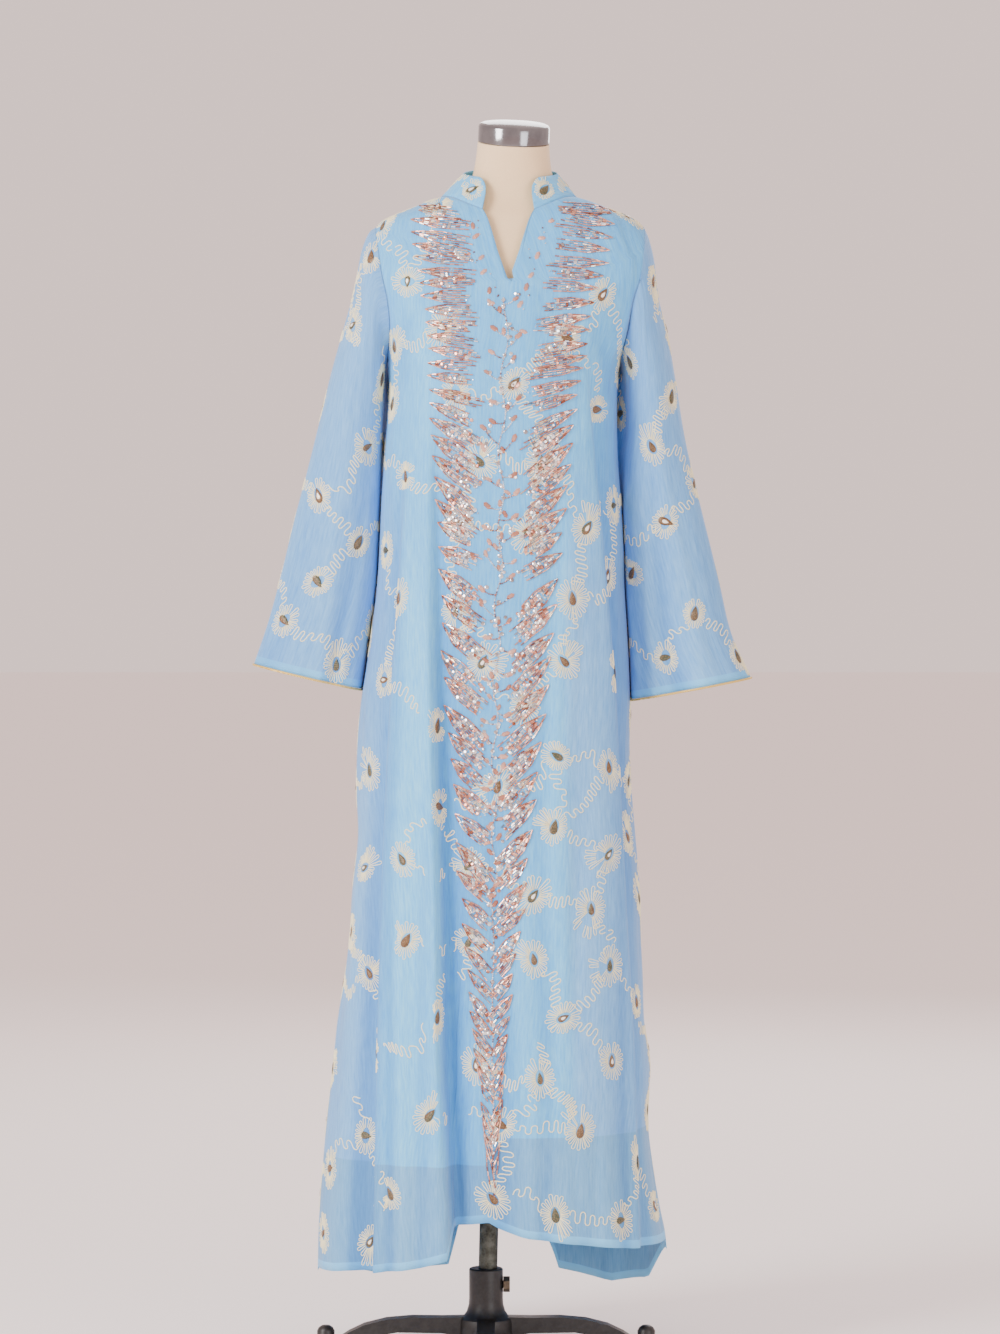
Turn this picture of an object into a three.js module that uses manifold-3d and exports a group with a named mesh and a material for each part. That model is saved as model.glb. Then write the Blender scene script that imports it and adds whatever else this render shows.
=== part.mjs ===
// A long chiffon kaftan with bell sleeves and a band collar, on a limbless dress form with a pole
// and a four-legged cast stand. Millimetres, +Z up, the garment's front faces -Y.
//
// Everything is measured from the point where the stand's axis meets the floor. At the end the
// group is moved so that its origin lies on the floor under the middle of the whole thing.
import * as THREE from "three";
import { mergeVertices } from "three/addons/utils/BufferGeometryUtils.js";
import Module from "manifold-3d";

const wasm = await Module();
wasm.setup();

// Driving sizes of the cloth
const CLOTH_WALL = 1.6;
const LINING_WALL = 1.2;
const LINING_GAP = 2.2; // from the outer cloth's inside to the lining
const SEAM_GAP = 0.32; // between two pieces that are sewn together
const FULLNESS = 2.3; // 2 is an ellipse; more is squarer

// Heights of the cut
const UNDERARM = 1342;
const SHOULDER_TIP = 1522;
const NECK_POINT = 1562; // where the shoulder seam meets the collar
const NOTCH_FOOT = 1440; // the bottom of the open V
const NOTCH_X = 30;
const NOTCH_HALF = 34.5; // half of the V's width at the collar
const HEM_LEVEL = 140; // a middle height of the wavy hem
const MIDDLE_RISE = 14.3; // from row to row, up the middle above the underarm

// The neckline is an oval seen from above
const NECKLINE = { middle: 31, half: 91, front: 80, back: 62 };

// The armhole is an oval seen from the side
const ARMHOLE_MIDDLE = (SHOULDER_TIP + UNDERARM) / 2;
const ARMHOLE_HALF = (SHOULDER_TIP - UNDERARM) / 2;
const ARMHOLE_FRONT = 66;
const ARMHOLE_BACK = 70;

// How finely the cloth is stepped
const SKIRT_ROWS = 14;
const ARMHOLE_ROWS = 10;
const SHOULDER_ROWS = 4;
const NOTCH_ROWS = 7;
const LINING_TIP = 8; // from this row of the armhole on, the lining keeps further from it
const LINING_TIP_CELLS = 3;
const LINING_FIRST_ROW = 3; // the lowest row of the panel that lies above the lining's hem

// The stand and the form
const LEAN = Math.tan((1.3 * Math.PI) / 180); // the pole leans a little in its socket
const POLE_R = 12.7;
const POLE_FIT = 0.4;
const POLE_FOOT = 26;
const POLE_TOP = 868;
const ROUND = 32; // corners around the pole, its holes and the hub
const FORM_FOOT = 795;
const NECK_TOP = 1634;
const NECK_TILT = 12; // degrees, the neck's top looks forward
const NECK_ROLL = 2.5;
const CAP_R = 48;
const SOCKET_R = 23;
const SOCKET_TOP = 115;
const LEG_WIDTH = 24;
const FOOT_REACH = 217;
const FOOT_R = 12;
const PAD_R = 16;
const PAD_HIGH = 6;
const SCREW_HEIGHT = 93;
const SCREW_R = 4.7;
const SCREW_HEAD_R = 11;
const SCREW_HEAD_LONG = 9;
const PIPING_R = 1.5;
const PIPING_SIDES = 6;

const FRONT = -1;
const BACK = 1;
const LEFT = -1; // towards -X
const RIGHT = 1;

function table(columns, rows) {
  return rows.map((row) => Object.fromEntries(columns.map((name, i) => [name, row[i]])));
}

// The garment's outer cloth by height: where its two sides are, and how far it stands forward
// and back of the stand's axis. Between the rows a smooth curve runs.
const BODY = table(["z", "left", "right", "front", "back"], [
  [40, -229, 252, 181, 193],
  [160, -227, 243, 177, 189],
  [200, -225, 235, 175, 187],
  [267, -220, 224, 172, 184],
  [320, -215, 219, 169, 181],
  [390, -207, 222, 166, 177],
  [450, -201, 214, 163, 173],
  [510, -191, 212, 160, 169],
  [572, -184, 209, 157, 166],
  [624, -181, 208, 155, 164],
  [700, -173, 202, 152, 160],
  [760, -175, 197, 150, 157],
  [820, -174, 194, 147, 154],
  [880, -169, 195, 143, 150],
  [940, -160, 193, 138, 146],
  [990, -153, 190, 134, 141],
  [1040, -147, 187, 130, 135],
  [1090, -144, 186, 126, 128],
  [1160, -141, 182, 122, 118],
  [1215, -137, 178, 124, 111],
  [1300, -131, 177, 132, 106],
  [1342, -132, 181, 132, 108],
  [1381, -128, 190, 125, 108],
  [1420, -131, 197, 115, 106],
  [1452, -138, 207, 106, 103],
  [1484, -143, 211, 98, 98],
  [1522, -147, 212, 85, 88],
  [1531, -137, 201, 81, 85],
  [1538, -122, 187, 77, 81],
  [1545, -104, 169, 72, 77],
  [1556, -78, 141, 63, 70],
  [1562, -60, 121, 59, 65],
  [1580, -26, 88, 50, 58],
]);

// The hem's height along the front and the back, seen from the front
const FRONT_HEM = table(["x", "z"], [
  [-240, 118],
  [-190, 128],
  [-148, 133],
  [-88, 142],
  [-50, 154],
  [-38, 196],
  [8, 201],
  [23, 192],
  [55, 181],
  [124, 171],
  [194, 161],
  [252, 157],
]);
const BACK_HEM = table(["x", "z"], [
  [-240, 118],
  [-190, 96],
  [-150, 84],
  [-54, 88],
  [-38, 150],
  [0, 155],
  [82, 138],
  [98, 84],
  [170, 73],
  [220, 86],
  [252, 157],
]);

// The lining's hem shows through the cloth as a change of tone
const LINING_HEM = table(["x", "z"], [
  [-240, 276],
  [0, 276],
  [20, 312],
  [252, 312],
]);

// Each large fold is an edge that runs down the skirt. The cloth stands out on its high side,
// dips on the other, and comes back to the body's form within the fold's reach.
const FOLDS = [
  {
    panel: FRONT,
    half: LEFT,
    high: RIGHT,
    reach: 34,
    edge: table(["z", "x"], [[140, -147], [403, -142], [690, -135], [912, -124], [1154, -107], [1342, -98]]),
    lift: table(["z", "out"], [[140, 17], [500, 15], [800, 12], [1000, 8], [1154, 5], [1260, 0]]),
  },
  {
    panel: FRONT,
    half: LEFT,
    high: LEFT,
    reach: 42,
    edge: table(["z", "x"], [[140, -43], [213, -45], [403, -56], [614, -58], [912, -66], [1342, -72]]),
    lift: table(["z", "out"], [[140, 24], [500, 22], [800, 18], [1000, 12], [1154, 7], [1280, 0]]),
  },
  {
    panel: FRONT,
    half: RIGHT,
    high: LEFT,
    reach: 40,
    edge: table(["z", "x"], [[140, 206], [441, 196], [686, 183], [912, 171], [1154, 150], [1342, 132]]),
    lift: table(["z", "out"], [[140, 9], [440, 12], [800, 15], [1100, 13], [1250, 8], [1342, 0]]),
  },
  {
    panel: BACK,
    half: LEFT,
    high: LEFT,
    reach: 55,
    edge: table(["z", "x"], [[84, -46], [600, -50], [1342, -44]]),
    lift: table(["z", "out"], [[84, 24], [500, 20], [900, 12], [1250, 0]]),
  },
  {
    panel: BACK,
    half: RIGHT,
    high: RIGHT,
    reach: 48,
    edge: table(["z", "x"], [[84, 90], [600, 86], [1342, 78]]),
    lift: table(["z", "out"], [[84, 22], [500, 18], [900, 12], [1250, 0]]),
  },
];
const FOLD_STEP = 7; // half the width over which a fold's edge turns

// How many cells lie between the seams, the folds' edges and the middle, from the side inwards
const CELLS = {
  [FRONT]: { [LEFT]: [3, 1, 2, 1, 3], [RIGHT]: [3, 1, 5] },
  [BACK]: { [LEFT]: [4, 1, 3], [RIGHT]: [4, 1, 3] },
};

// A sleeve by its rings, from the armhole to the cuff: the outer point, the inner point and
// half of the depth from front to back
const SLEEVE_COLUMNS = ["outX", "outZ", "inX", "inZ", "depth"];
const SLEEVES = {
  [LEFT]: table(SLEEVE_COLUMNS, [
    [-158, 1513, -133, 1338, 68],
    [-168, 1487, -135, 1326, 68],
    [-177, 1440, -136, 1306, 66],
    [-192, 1385, -138, 1276, 62],
    [-208, 1328, -141, 1240, 57],
    [-224, 1262, -145, 1196, 52],
    [-241, 1194, -148, 1148, 48],
    [-258, 1130, -150, 1092, 45],
    [-275, 1060, -154, 1030, 44],
    [-293, 993, -161, 964, 46],
    [-313, 934, -169, 900, 50],
  ]),
  [RIGHT]: table(SLEEVE_COLUMNS, [
    [220, 1504, 183, 1338, 68],
    [227, 1474, 186, 1324, 68],
    [233, 1425, 189, 1303, 66],
    [246, 1370, 191, 1272, 62],
    [256, 1313, 191, 1236, 57],
    [267, 1245, 189, 1192, 52],
    [281, 1181, 189, 1142, 48],
    [298, 1112, 192, 1086, 45],
    [315, 1043, 193, 1022, 44],
    [331, 975, 196, 954, 46],
    [357, 916, 199, 886, 50],
  ]),
};

// Soft troughs down a sleeve: the place round it in degrees from its outer line towards the
// front, the width in degrees, the depth at the cuff, and the ring from which it grows
const TROUGH_COLUMNS = ["place", "width", "deep", "from"];
const SLEEVE_TROUGHS = {
  [LEFT]: table(TROUGH_COLUMNS, [[120, 17, 9, 5], [45, 22, 4, 4], [250, 20, 8, 5]]),
  [RIGHT]: table(TROUGH_COLUMNS, [[100, 18, 8, 5], [150, 16, 5, 6], [235, 22, 8, 5]]),
};

// The dress form: half of its width, and its reach forward and back of the leaning axis
const FORM = table(["z", "half", "front", "back", "lean", "tilt"], [
  [795, 138, 98, 108, 0, 0],
  [860, 148, 104, 118, 0, 0],
  [950, 152, 106, 122, 0, 0],
  [1040, 140, 100, 112, 0, 0],
  [1110, 124, 94, 98, 0, 0],
  [1170, 116, 92, 90, 0, 0],
  [1230, 124, 100, 92, 0, 0],
  [1290, 137, 116, 97, 0, 0],
  [1340, 143.4, 122, 99.4, 0, 0],
  [1390, 146, 112, 99, 0, 0],
  [1440, 152, 99, 97, 0, 0],
  [1480, 158, 89, 91, 0, 0],
  [1505, 160, 81, 85, 0, 0],
  [1522, 153, 74, 79, 0, 0],
  [1534, 136, 68, 73, 0, 0],
  [1543, 116, 61, 67, 0, 0],
  [1551.6, 96, 55, 61, 0, 0],
  [1560.5, 76, 50, 56, -1, 1],
  [1573, 61, 46, 52, -3, 3],
  [1590, 54, 44, 49, -5, 6],
  [1612, 50, 44, 46, -8, 9],
  [1634, 48, 46, 46, -11, 12],
]);
const FORM_AROUND = 28;

// Half of the stand collar's top edge, its height and its lie
const COLLAR_TOP = { half: 63, front: 54, back: 58, middleX: 33, middleY: -4, height: 1594, tilt: 0.2 };
const COLLAR_ENDS = [0, 3, 8, 15, 25]; // steps along the neckline at each rounded end
const COLLAR_STEP = 19;
const COLLAR_ROUND = 24; // how far from the end the top edge is back at its full height
const COLLAR_END_SHARE = 0.5; // the height of the very end, as a share of the collar's
const COLLAR_ROWS = 3;

// Linear reading of a table
function straight(rows, key, column, value) {
  const last = rows.length - 1;
  let i = 0;
  while (i < last - 1 && value > rows[i + 1][key]) i += 1;
  const share = (value - rows[i][key]) / (rows[i + 1][key] - rows[i][key]);
  return THREE.MathUtils.lerp(rows[i][column], rows[i + 1][column], THREE.MathUtils.clamp(share, 0, 1));
}

// Smooth reading of a table: a cubic piece between two rows, with the slope of their neighbours
function smooth(rows, key, column, value) {
  const last = rows.length - 1;
  let i = 0;
  while (i < last - 1 && value > rows[i + 1][key]) i += 1;
  const slope = (k) => {
    const a = rows[Math.max(k - 1, 0)];
    const b = rows[Math.min(k + 1, last)];
    return (b[column] - a[column]) / (b[key] - a[key]);
  };
  const width = rows[i + 1][key] - rows[i][key];
  const s = THREE.MathUtils.clamp((value - rows[i][key]) / width, 0, 1);
  const rise = s * s * (3 - 2 * s);
  return (
    rows[i][column] * (1 - rise) +
    rows[i + 1][column] * rise +
    slope(i) * width * s * (1 - s) * (1 - s) -
    slope(i + 1) * width * s * s * (1 - s)
  );
}

function signedPower(value, power) {
  return Math.sign(value) * Math.pow(Math.abs(value), power);
}

// How far in front of or behind the axis the armhole's edge lies; 0 above and below the armhole
function armholeReach(panel, z) {
  const share = (z - ARMHOLE_MIDDLE) / ARMHOLE_HALF;
  const widest = panel === FRONT ? ARMHOLE_FRONT : ARMHOLE_BACK;
  return Math.abs(share) < 1 ? widest * Math.sqrt(1 - share * share) : 0;
}

// The level section of a panel. Its ends are the side seam, the armhole or the shoulder seam.
function section(panel, z) {
  const left = smooth(BODY, "z", "left", z);
  const right = smooth(BODY, "z", "right", z);
  const depth = smooth(BODY, "z", panel === FRONT ? "front" : "back", z);
  const end = Math.acos(Math.pow(armholeReach(panel, z) / depth, FULLNESS / 2));
  const half = (right - left) / 2 / Math.pow(Math.sin(end), 2 / FULLNESS);
  return { middle: (left + right) / 2, half, depth, end };
}

// The place across a panel, -1 at its left end and 1 at its right, where it crosses x
function placeOf(panel, x, z) {
  const cut = section(panel, z);
  const share = THREE.MathUtils.clamp((x - cut.middle) / cut.half, -1, 1);
  return Math.asin(signedPower(share, FULLNESS / 2)) / cut.end;
}

// The height at which a panel's shoulder or chest passes over a place seen from above
function heightAt(panel, x, reach) {
  let [low, high] = [UNDERARM, NECK_POINT + 20];
  for (let step = 0; step < 40; step += 1) {
    const z = (low + high) / 2;
    const cut = section(panel, z);
    const share = Math.min(Math.abs(x - cut.middle) / cut.half, 1);
    const ahead = cut.depth * Math.pow(1 - Math.pow(share, FULLNESS), 1 / FULLNESS);
    if (ahead > reach) low = z;
    else high = z;
  }
  return (low + high) / 2;
}

function foldLift(panel, x, z) {
  let out = 0;
  for (const fold of FOLDS) {
    if (fold.panel !== panel) continue;
    const past = (x - straight(fold.edge, "z", "x", z)) * fold.high;
    const size = straight(fold.lift, "z", "out", z);
    out += size * Math.tanh((1.4 * past) / FOLD_STEP) * Math.exp(-Math.abs(past) / fold.reach);
  }
  return out;
}

function panelPoint(panel, place, z) {
  const cut = section(panel, z);
  const angle = place * cut.end;
  const across = signedPower(Math.sin(angle), 2 / FULLNESS);
  const ahead = signedPower(Math.cos(angle), 2 / FULLNESS);
  const x = cut.middle + cut.half * across;
  const y = panel * cut.depth * ahead;
  const out = new THREE.Vector2(
    signedPower(across, FULLNESS - 1) / cut.half,
    (panel * signedPower(ahead, FULLNESS - 1)) / cut.depth,
  ).normalize();
  const lift = foldLift(panel, x, z) * (1 - Math.pow(Math.abs(place), 6));
  return new THREE.Vector3(x + out.x * lift, y + out.y * lift, z);
}

// Places of the columns in one half of a panel, from the side (0) to the middle (1)
function columnsOf(panel, half, z) {
  const knots = [0];
  for (const fold of FOLDS.filter((f) => f.panel === panel && f.half === half)) {
    const x = straight(fold.edge, "z", "x", z);
    knots.push(1 - Math.abs(placeOf(panel, x + half * FOLD_STEP, z)));
    knots.push(1 - Math.abs(placeOf(panel, x - half * FOLD_STEP, z)));
  }
  knots.push(1);
  const columns = [0];
  CELLS[panel][half].forEach((count, i) => {
    for (let k = 1; k <= count; k += 1) {
      columns.push(THREE.MathUtils.lerp(knots[i], knots[i + 1], k / count));
    }
  });
  return columns;
}

// The heights of the rows at the armhole's edge, in even turns up the oval
function seamHeights() {
  return Array.from({ length: ARMHOLE_ROWS + 1 }, (_, k) => {
    return ARMHOLE_MIDDLE - ARMHOLE_HALF * Math.cos((Math.PI * k) / ARMHOLE_ROWS);
  });
}

// One half of a panel as rows of points, each from the side to the middle
function halfPanel(panel, half) {
  const hem = panel === FRONT ? FRONT_HEM : BACK_HEM;
  const rows = [];
  for (let k = 0; k < SKIRT_ROWS; k += 1) {
    const share = k / SKIRT_ROWS;
    const level = THREE.MathUtils.lerp(HEM_LEVEL, UNDERARM, share);
    rows.push(
      columnsOf(panel, half, level).map((column) => {
        const place = half * (1 - column);
        const foot = straight(hem, "x", "z", panelPoint(panel, place, HEM_LEVEL).x);
        return panelPoint(panel, place, THREE.MathUtils.lerp(foot, UNDERARM, share));
      }),
    );
  }
  const columns = columnsOf(panel, half, UNDERARM);
  const lastRow = ARMHOLE_ROWS + SHOULDER_ROWS;
  seamHeights().forEach((seam, k) => {
    const middle = UNDERARM + MIDDLE_RISE * k;
    const open = (NOTCH_HALF * (k - NOTCH_ROWS)) / (lastRow - NOTCH_ROWS);
    const notched = panel === FRONT && open > 0;
    const edge = notched ? Math.abs(placeOf(panel, NOTCH_X + half * open, middle)) : 0;
    rows.push(
      columns.map((column) => {
        const place = half * THREE.MathUtils.lerp(1, edge, column);
        const z = THREE.MathUtils.lerp(seam, middle, Math.sin((column * Math.PI) / 2));
        return panelPoint(panel, place, z);
      }),
    );
  });
  return [...rows, ...shoulderRows(panel, half, columns, rows.at(-1))];
}

// From the row at the shoulder's tip to the neckline, evenly as seen from above
function shoulderRows(panel, half, columns, tipRow) {
  const neck = NECKLINE;
  const notch = NOTCH_X + half * NOTCH_HALF - neck.middle;
  const endAngle = panel === FRONT ? Math.acos((half * notch) / neck.half) : Math.PI / 2;
  const deep = panel === FRONT ? neck.front : neck.back;
  return Array.from({ length: SHOULDER_ROWS }, (_, row) => {
    const share = (row + 1) / SHOULDER_ROWS;
    return columns.map((column, i) => {
      const angle = column * endAngle;
      const seam = THREE.MathUtils.lerp(SHOULDER_TIP, NECK_POINT, share);
      if (i === 0) return panelPoint(panel, half, seam);
      const neckX = neck.middle + half * neck.half * Math.cos(angle);
      const x = THREE.MathUtils.lerp(tipRow[i].x, neckX, share);
      const y = THREE.MathUtils.lerp(Math.abs(tipRow[i].y), deep * Math.sin(angle), share);
      const z = heightAt(panel, x, y);
      return panelPoint(panel, placeOf(panel, x, z), z);
    });
  });
}

// Two halves joined down the middle, up to the row where the notch opens
function joinedPanel(panel) {
  const left = halfPanel(panel, LEFT);
  const right = halfPanel(panel, RIGHT).map((row) => [...row].reverse());
  const notchRow = panel === FRONT ? SKIRT_ROWS + NOTCH_ROWS : left.length;
  const points = [];
  const index = (point) => points.push(point) - 1;
  const leftIds = left.map((row) => row.map(index));
  const rightIds = right.map((row, j) =>
    row.map((point, i) => (i === 0 && j <= notchRow ? leftIds[j].at(-1) : index(point))),
  );
  return { panel, points, halves: [leftIds, rightIds] };
}

// The triangles of a panel's cells, apart from those that the piece leaves out
function facesOf(halves, panel, leavesOut = () => false) {
  const faces = [];
  for (const [half, ids] of halves.entries()) {
    for (let j = 0; j + 1 < ids.length; j += 1) {
      for (let i = 0; i + 1 < ids[j].length; i += 1) {
        const fromSide = half === 0 ? i : ids[j].length - 2 - i;
        if (leavesOut(j, fromSide)) continue;
        const [a, b, c, d] = [ids[j][i], ids[j][i + 1], ids[j + 1][i + 1], ids[j + 1][i]];
        const turned = panel === BACK;
        faces.push(turned ? [a, c, b] : [a, b, c], turned ? [a, d, c] : [a, c, d]);
      }
    }
  }
  return faces;
}

function normalsOf(points, faces) {
  const normals = points.map(() => new THREE.Vector3());
  for (const [a, b, c] of faces) {
    const normal = new THREE.Vector3()
      .subVectors(points[b], points[a])
      .cross(new THREE.Vector3().subVectors(points[c], points[a]));
    for (const i of [a, b, c]) normals[i].add(normal);
  }
  return normals.map((n) => n.normalize());
}

// Side and shoulder seams: the edge stands just off the seam's plane and its wall is square to it
function squareSeams(sheet, normals) {
  const [left, right] = sheet.halves;
  const ends = [...left.map((row) => row[0]), ...right.map((row) => row.at(-1))];
  for (const i of ends) {
    const point = sheet.points[i];
    if (Math.abs(point.y) > 1) continue; // an armhole's edge
    point.y = (sheet.panel * SEAM_GAP) / 2;
    normals[i].y = 0;
    normals[i].normalize();
  }
}

// A closed wall: the sheet, its inside, and a rim along every open edge
function wallGeometry(outer, inner, faces) {
  const count = outer.length;
  const triangles = [...faces];
  const edges = new Map();
  for (const [a, b, c] of faces) {
    triangles.push([a + count, c + count, b + count]);
    for (const [from, to] of [[a, b], [b, c], [c, a]]) {
      if (!edges.delete(`${to} ${from}`)) edges.set(`${from} ${to}`, [from, to]);
    }
  }
  for (const [from, to] of edges.values()) {
    triangles.push([from, from + count, to + count], [from, to + count, to]);
  }
  const geometry = new THREE.BufferGeometry();
  const positions = [...outer, ...inner].flatMap((p) => [p.x, p.y, p.z]);
  geometry.setAttribute("position", new THREE.Float32BufferAttribute(positions, 3));
  geometry.setIndex(triangles.flat());
  return geometry;
}

function moved(points, normals, distance) {
  return points.map((p, i) => p.clone().addScaledVector(normals[i], distance));
}

function panelGeometry(sheet) {
  const faces = facesOf(sheet.halves, sheet.panel);
  const normals = normalsOf(sheet.points, faces);
  squareSeams(sheet, normals);
  sheet.normals = normals;
  return wallGeometry(sheet.points, moved(sheet.points, normals, -CLOTH_WALL), faces);
}

// The lining follows its panel from the inside, down to its own hem. It stops short of the
// armhole and the shoulder's tip.
function liningGeometry(sheet) {
  const inside = moved(sheet.points, sheet.normals, -(CLOTH_WALL + LINING_GAP));
  const points = [];
  const normals = [];
  const keep = (point, normal) => {
    normals.push(normal.clone());
    return points.push(point) - 1;
  };
  const shared = new Map();
  const kept = (i) => {
    if (!shared.has(i)) shared.set(i, keep(inside[i], sheet.normals[i]));
    return shared.get(i);
  };
  const hemIds = new Map();
  const onHem = (ids, i) => {
    const column = ids.map((row) => row[i]);
    const foot = straight(LINING_HEM, "x", "z", inside[column[0]].x);
    const above = column.findIndex((id) => inside[id].z > foot);
    const low = inside[column[above - 1]];
    const high = inside[column[above]];
    const share = (foot - low.z) / (high.z - low.z);
    if (!hemIds.has(column[0])) {
      hemIds.set(column[0], keep(low.clone().lerp(high, share), sheet.normals[column[above]]));
    }
    return hemIds.get(column[0]);
  };
  const halves = sheet.halves.map((ids) => {
    const hem = ids[0].map((_, i) => onHem(ids, i));
    return [hem, ...ids.slice(LINING_FIRST_ROW).map((row) => row.map(kept))];
  });
  const armholeFoot = 1 + SKIRT_ROWS - LINING_FIRST_ROW;
  const byArmhole = (j, fromSide) => {
    const row = j - armholeFoot;
    if (row < 0 || row > ARMHOLE_ROWS + 2) return false;
    return fromSide < (row < LINING_TIP ? 1 : LINING_TIP_CELLS);
  };
  const faces = facesOf(halves, sheet.panel, byArmhole);
  return wallGeometry(points, moved(points, normals, -LINING_WALL), faces);
}

// The armhole's seam as the sleeve meets it: from the shoulder's tip down the front to the
// underarm and up the back
function armholeLoop(side) {
  const heights = seamHeights();
  const column = side === LEFT ? "left" : "right";
  const point = (panel, z) => {
    const x = smooth(BODY, "z", column, z) + side * SEAM_GAP;
    return new THREE.Vector3(x, panel * armholeReach(panel, z), z);
  };
  const front = [...heights].reverse().map((z) => point(FRONT, z));
  const back = heights.slice(1, -1).map((z) => point(BACK, z));
  return [...front, ...back];
}

function sleeveRing(side, row, index) {
  const outer = new THREE.Vector3(row.outX, 0, row.outZ);
  const inner = new THREE.Vector3(row.inX, 0, row.inZ);
  const middle = outer.clone().add(inner).multiplyScalar(0.5);
  const half = outer.clone().sub(inner).multiplyScalar(0.5);
  const last = SLEEVES[side].length - 1;
  const around = 2 * ARMHOLE_ROWS;
  return Array.from({ length: around }, (_, k) => {
    const angle = (2 * Math.PI * k) / around;
    let share = 1;
    for (const trough of SLEEVE_TROUGHS[side]) {
      const off = (THREE.MathUtils.radToDeg(angle) - trough.place) / trough.width;
      const grown = THREE.MathUtils.clamp((index - trough.from) / (last - trough.from), 0, 1);
      share -= (trough.deep * grown * Math.exp(-off * off)) / row.depth;
    }
    const point = middle.clone().addScaledVector(half, Math.cos(angle));
    point.y = -row.depth * Math.sin(angle) * share;
    return point;
  });
}

// A tube through rings, open at both ends
function tubeFaces(rings, around, side) {
  const faces = [];
  for (let j = 0; j + 1 < rings; j += 1) {
    for (let i = 0; i < around; i += 1) {
      const next = (i + 1) % around;
      const [a, b] = [j * around + i, j * around + next];
      const [c, d] = [(j + 1) * around + next, (j + 1) * around + i];
      const turned = side === RIGHT;
      faces.push(turned ? [a, b, c] : [a, c, b], turned ? [a, c, d] : [a, d, c]);
    }
  }
  return faces;
}

function sleeveSheet(side) {
  const rings = [armholeLoop(side), ...SLEEVES[side].map((row, k) => sleeveRing(side, row, k))];
  const around = rings[0].length;
  const points = rings.flat();
  const faces = tubeFaces(rings.length, around, side);
  const normals = normalsOf(points, faces);
  for (let i = 0; i < around; i += 1) {
    normals[i].x = 0; // the seam's edge is square to the armhole
    normals[i].normalize();
  }
  return { points, faces, normals, around, side };
}

function sleeveGeometry(sheet) {
  const inner = moved(sheet.points, sheet.normals, -CLOTH_WALL);
  return wallGeometry(sheet.points, inner, sheet.faces);
}

// A round cord sewn along the cuff's edge
function pipingGeometry(sheet) {
  const { points, around, normals } = sheet;
  const edge = points.slice(-around);
  const above = points.slice(-2 * around, -around);
  const drop = PIPING_R + SEAM_GAP;
  const sides = PIPING_SIDES;
  const corners = edge.flatMap((point, i) => {
    const down = point.clone().sub(above[i]).normalize();
    const out = normals[points.length - around + i];
    const middle = point.clone().addScaledVector(out, -CLOTH_WALL / 2).addScaledVector(down, drop);
    return Array.from({ length: sides }, (_, k) => {
      const angle = (2 * Math.PI * k) / sides;
      return middle
        .clone()
        .addScaledVector(out, PIPING_R * Math.cos(angle))
        .addScaledVector(down, PIPING_R * Math.sin(angle));
    });
  });
  const faces = [];
  for (let i = 0; i < around; i += 1) {
    const next = (i + 1) % around;
    for (let k = 0; k < sides; k += 1) {
      const turn = (k + 1) % sides;
      const [a, b] = [i * sides + k, i * sides + turn];
      const [c, d] = [next * sides + turn, next * sides + k];
      const turned = sheet.side === RIGHT;
      faces.push(turned ? [a, c, b] : [a, b, c], turned ? [a, d, c] : [a, c, d]);
    }
  }
  const geometry = new THREE.BufferGeometry();
  const positions = corners.flatMap((p) => [p.x, p.y, p.z]);
  geometry.setAttribute("position", new THREE.Float32BufferAttribute(positions, 3));
  geometry.setIndex(faces.flat());
  return geometry;
}

// The neckline from the left front end round the back to the right front end
function neckline(front, back) {
  const top = (sheet, half) => sheet.halves[half].at(-1).map((i) => sheet.points[i]);
  const frontLeft = [...top(front, 0)].reverse();
  const backRow = [...top(back, 0), ...top(back, 1).slice(1)];
  const frontRight = [...top(front, 1)].reverse();
  return [...frontLeft, ...backRow.slice(1, -1), ...frontRight];
}

// Points at given distances along a line of points
function pointsAt(line, distances) {
  const lengths = [0];
  line.slice(1).forEach((p, i) => lengths.push(lengths[i] + p.distanceTo(line[i])));
  return distances.map((distance) => {
    let i = 0;
    while (i < line.length - 2 && distance > lengths[i + 1]) i += 1;
    const share = (distance - lengths[i]) / (lengths[i + 1] - lengths[i]);
    return line[i].clone().lerp(line[i + 1], THREE.MathUtils.clamp(share, 0, 1));
  });
}

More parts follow.
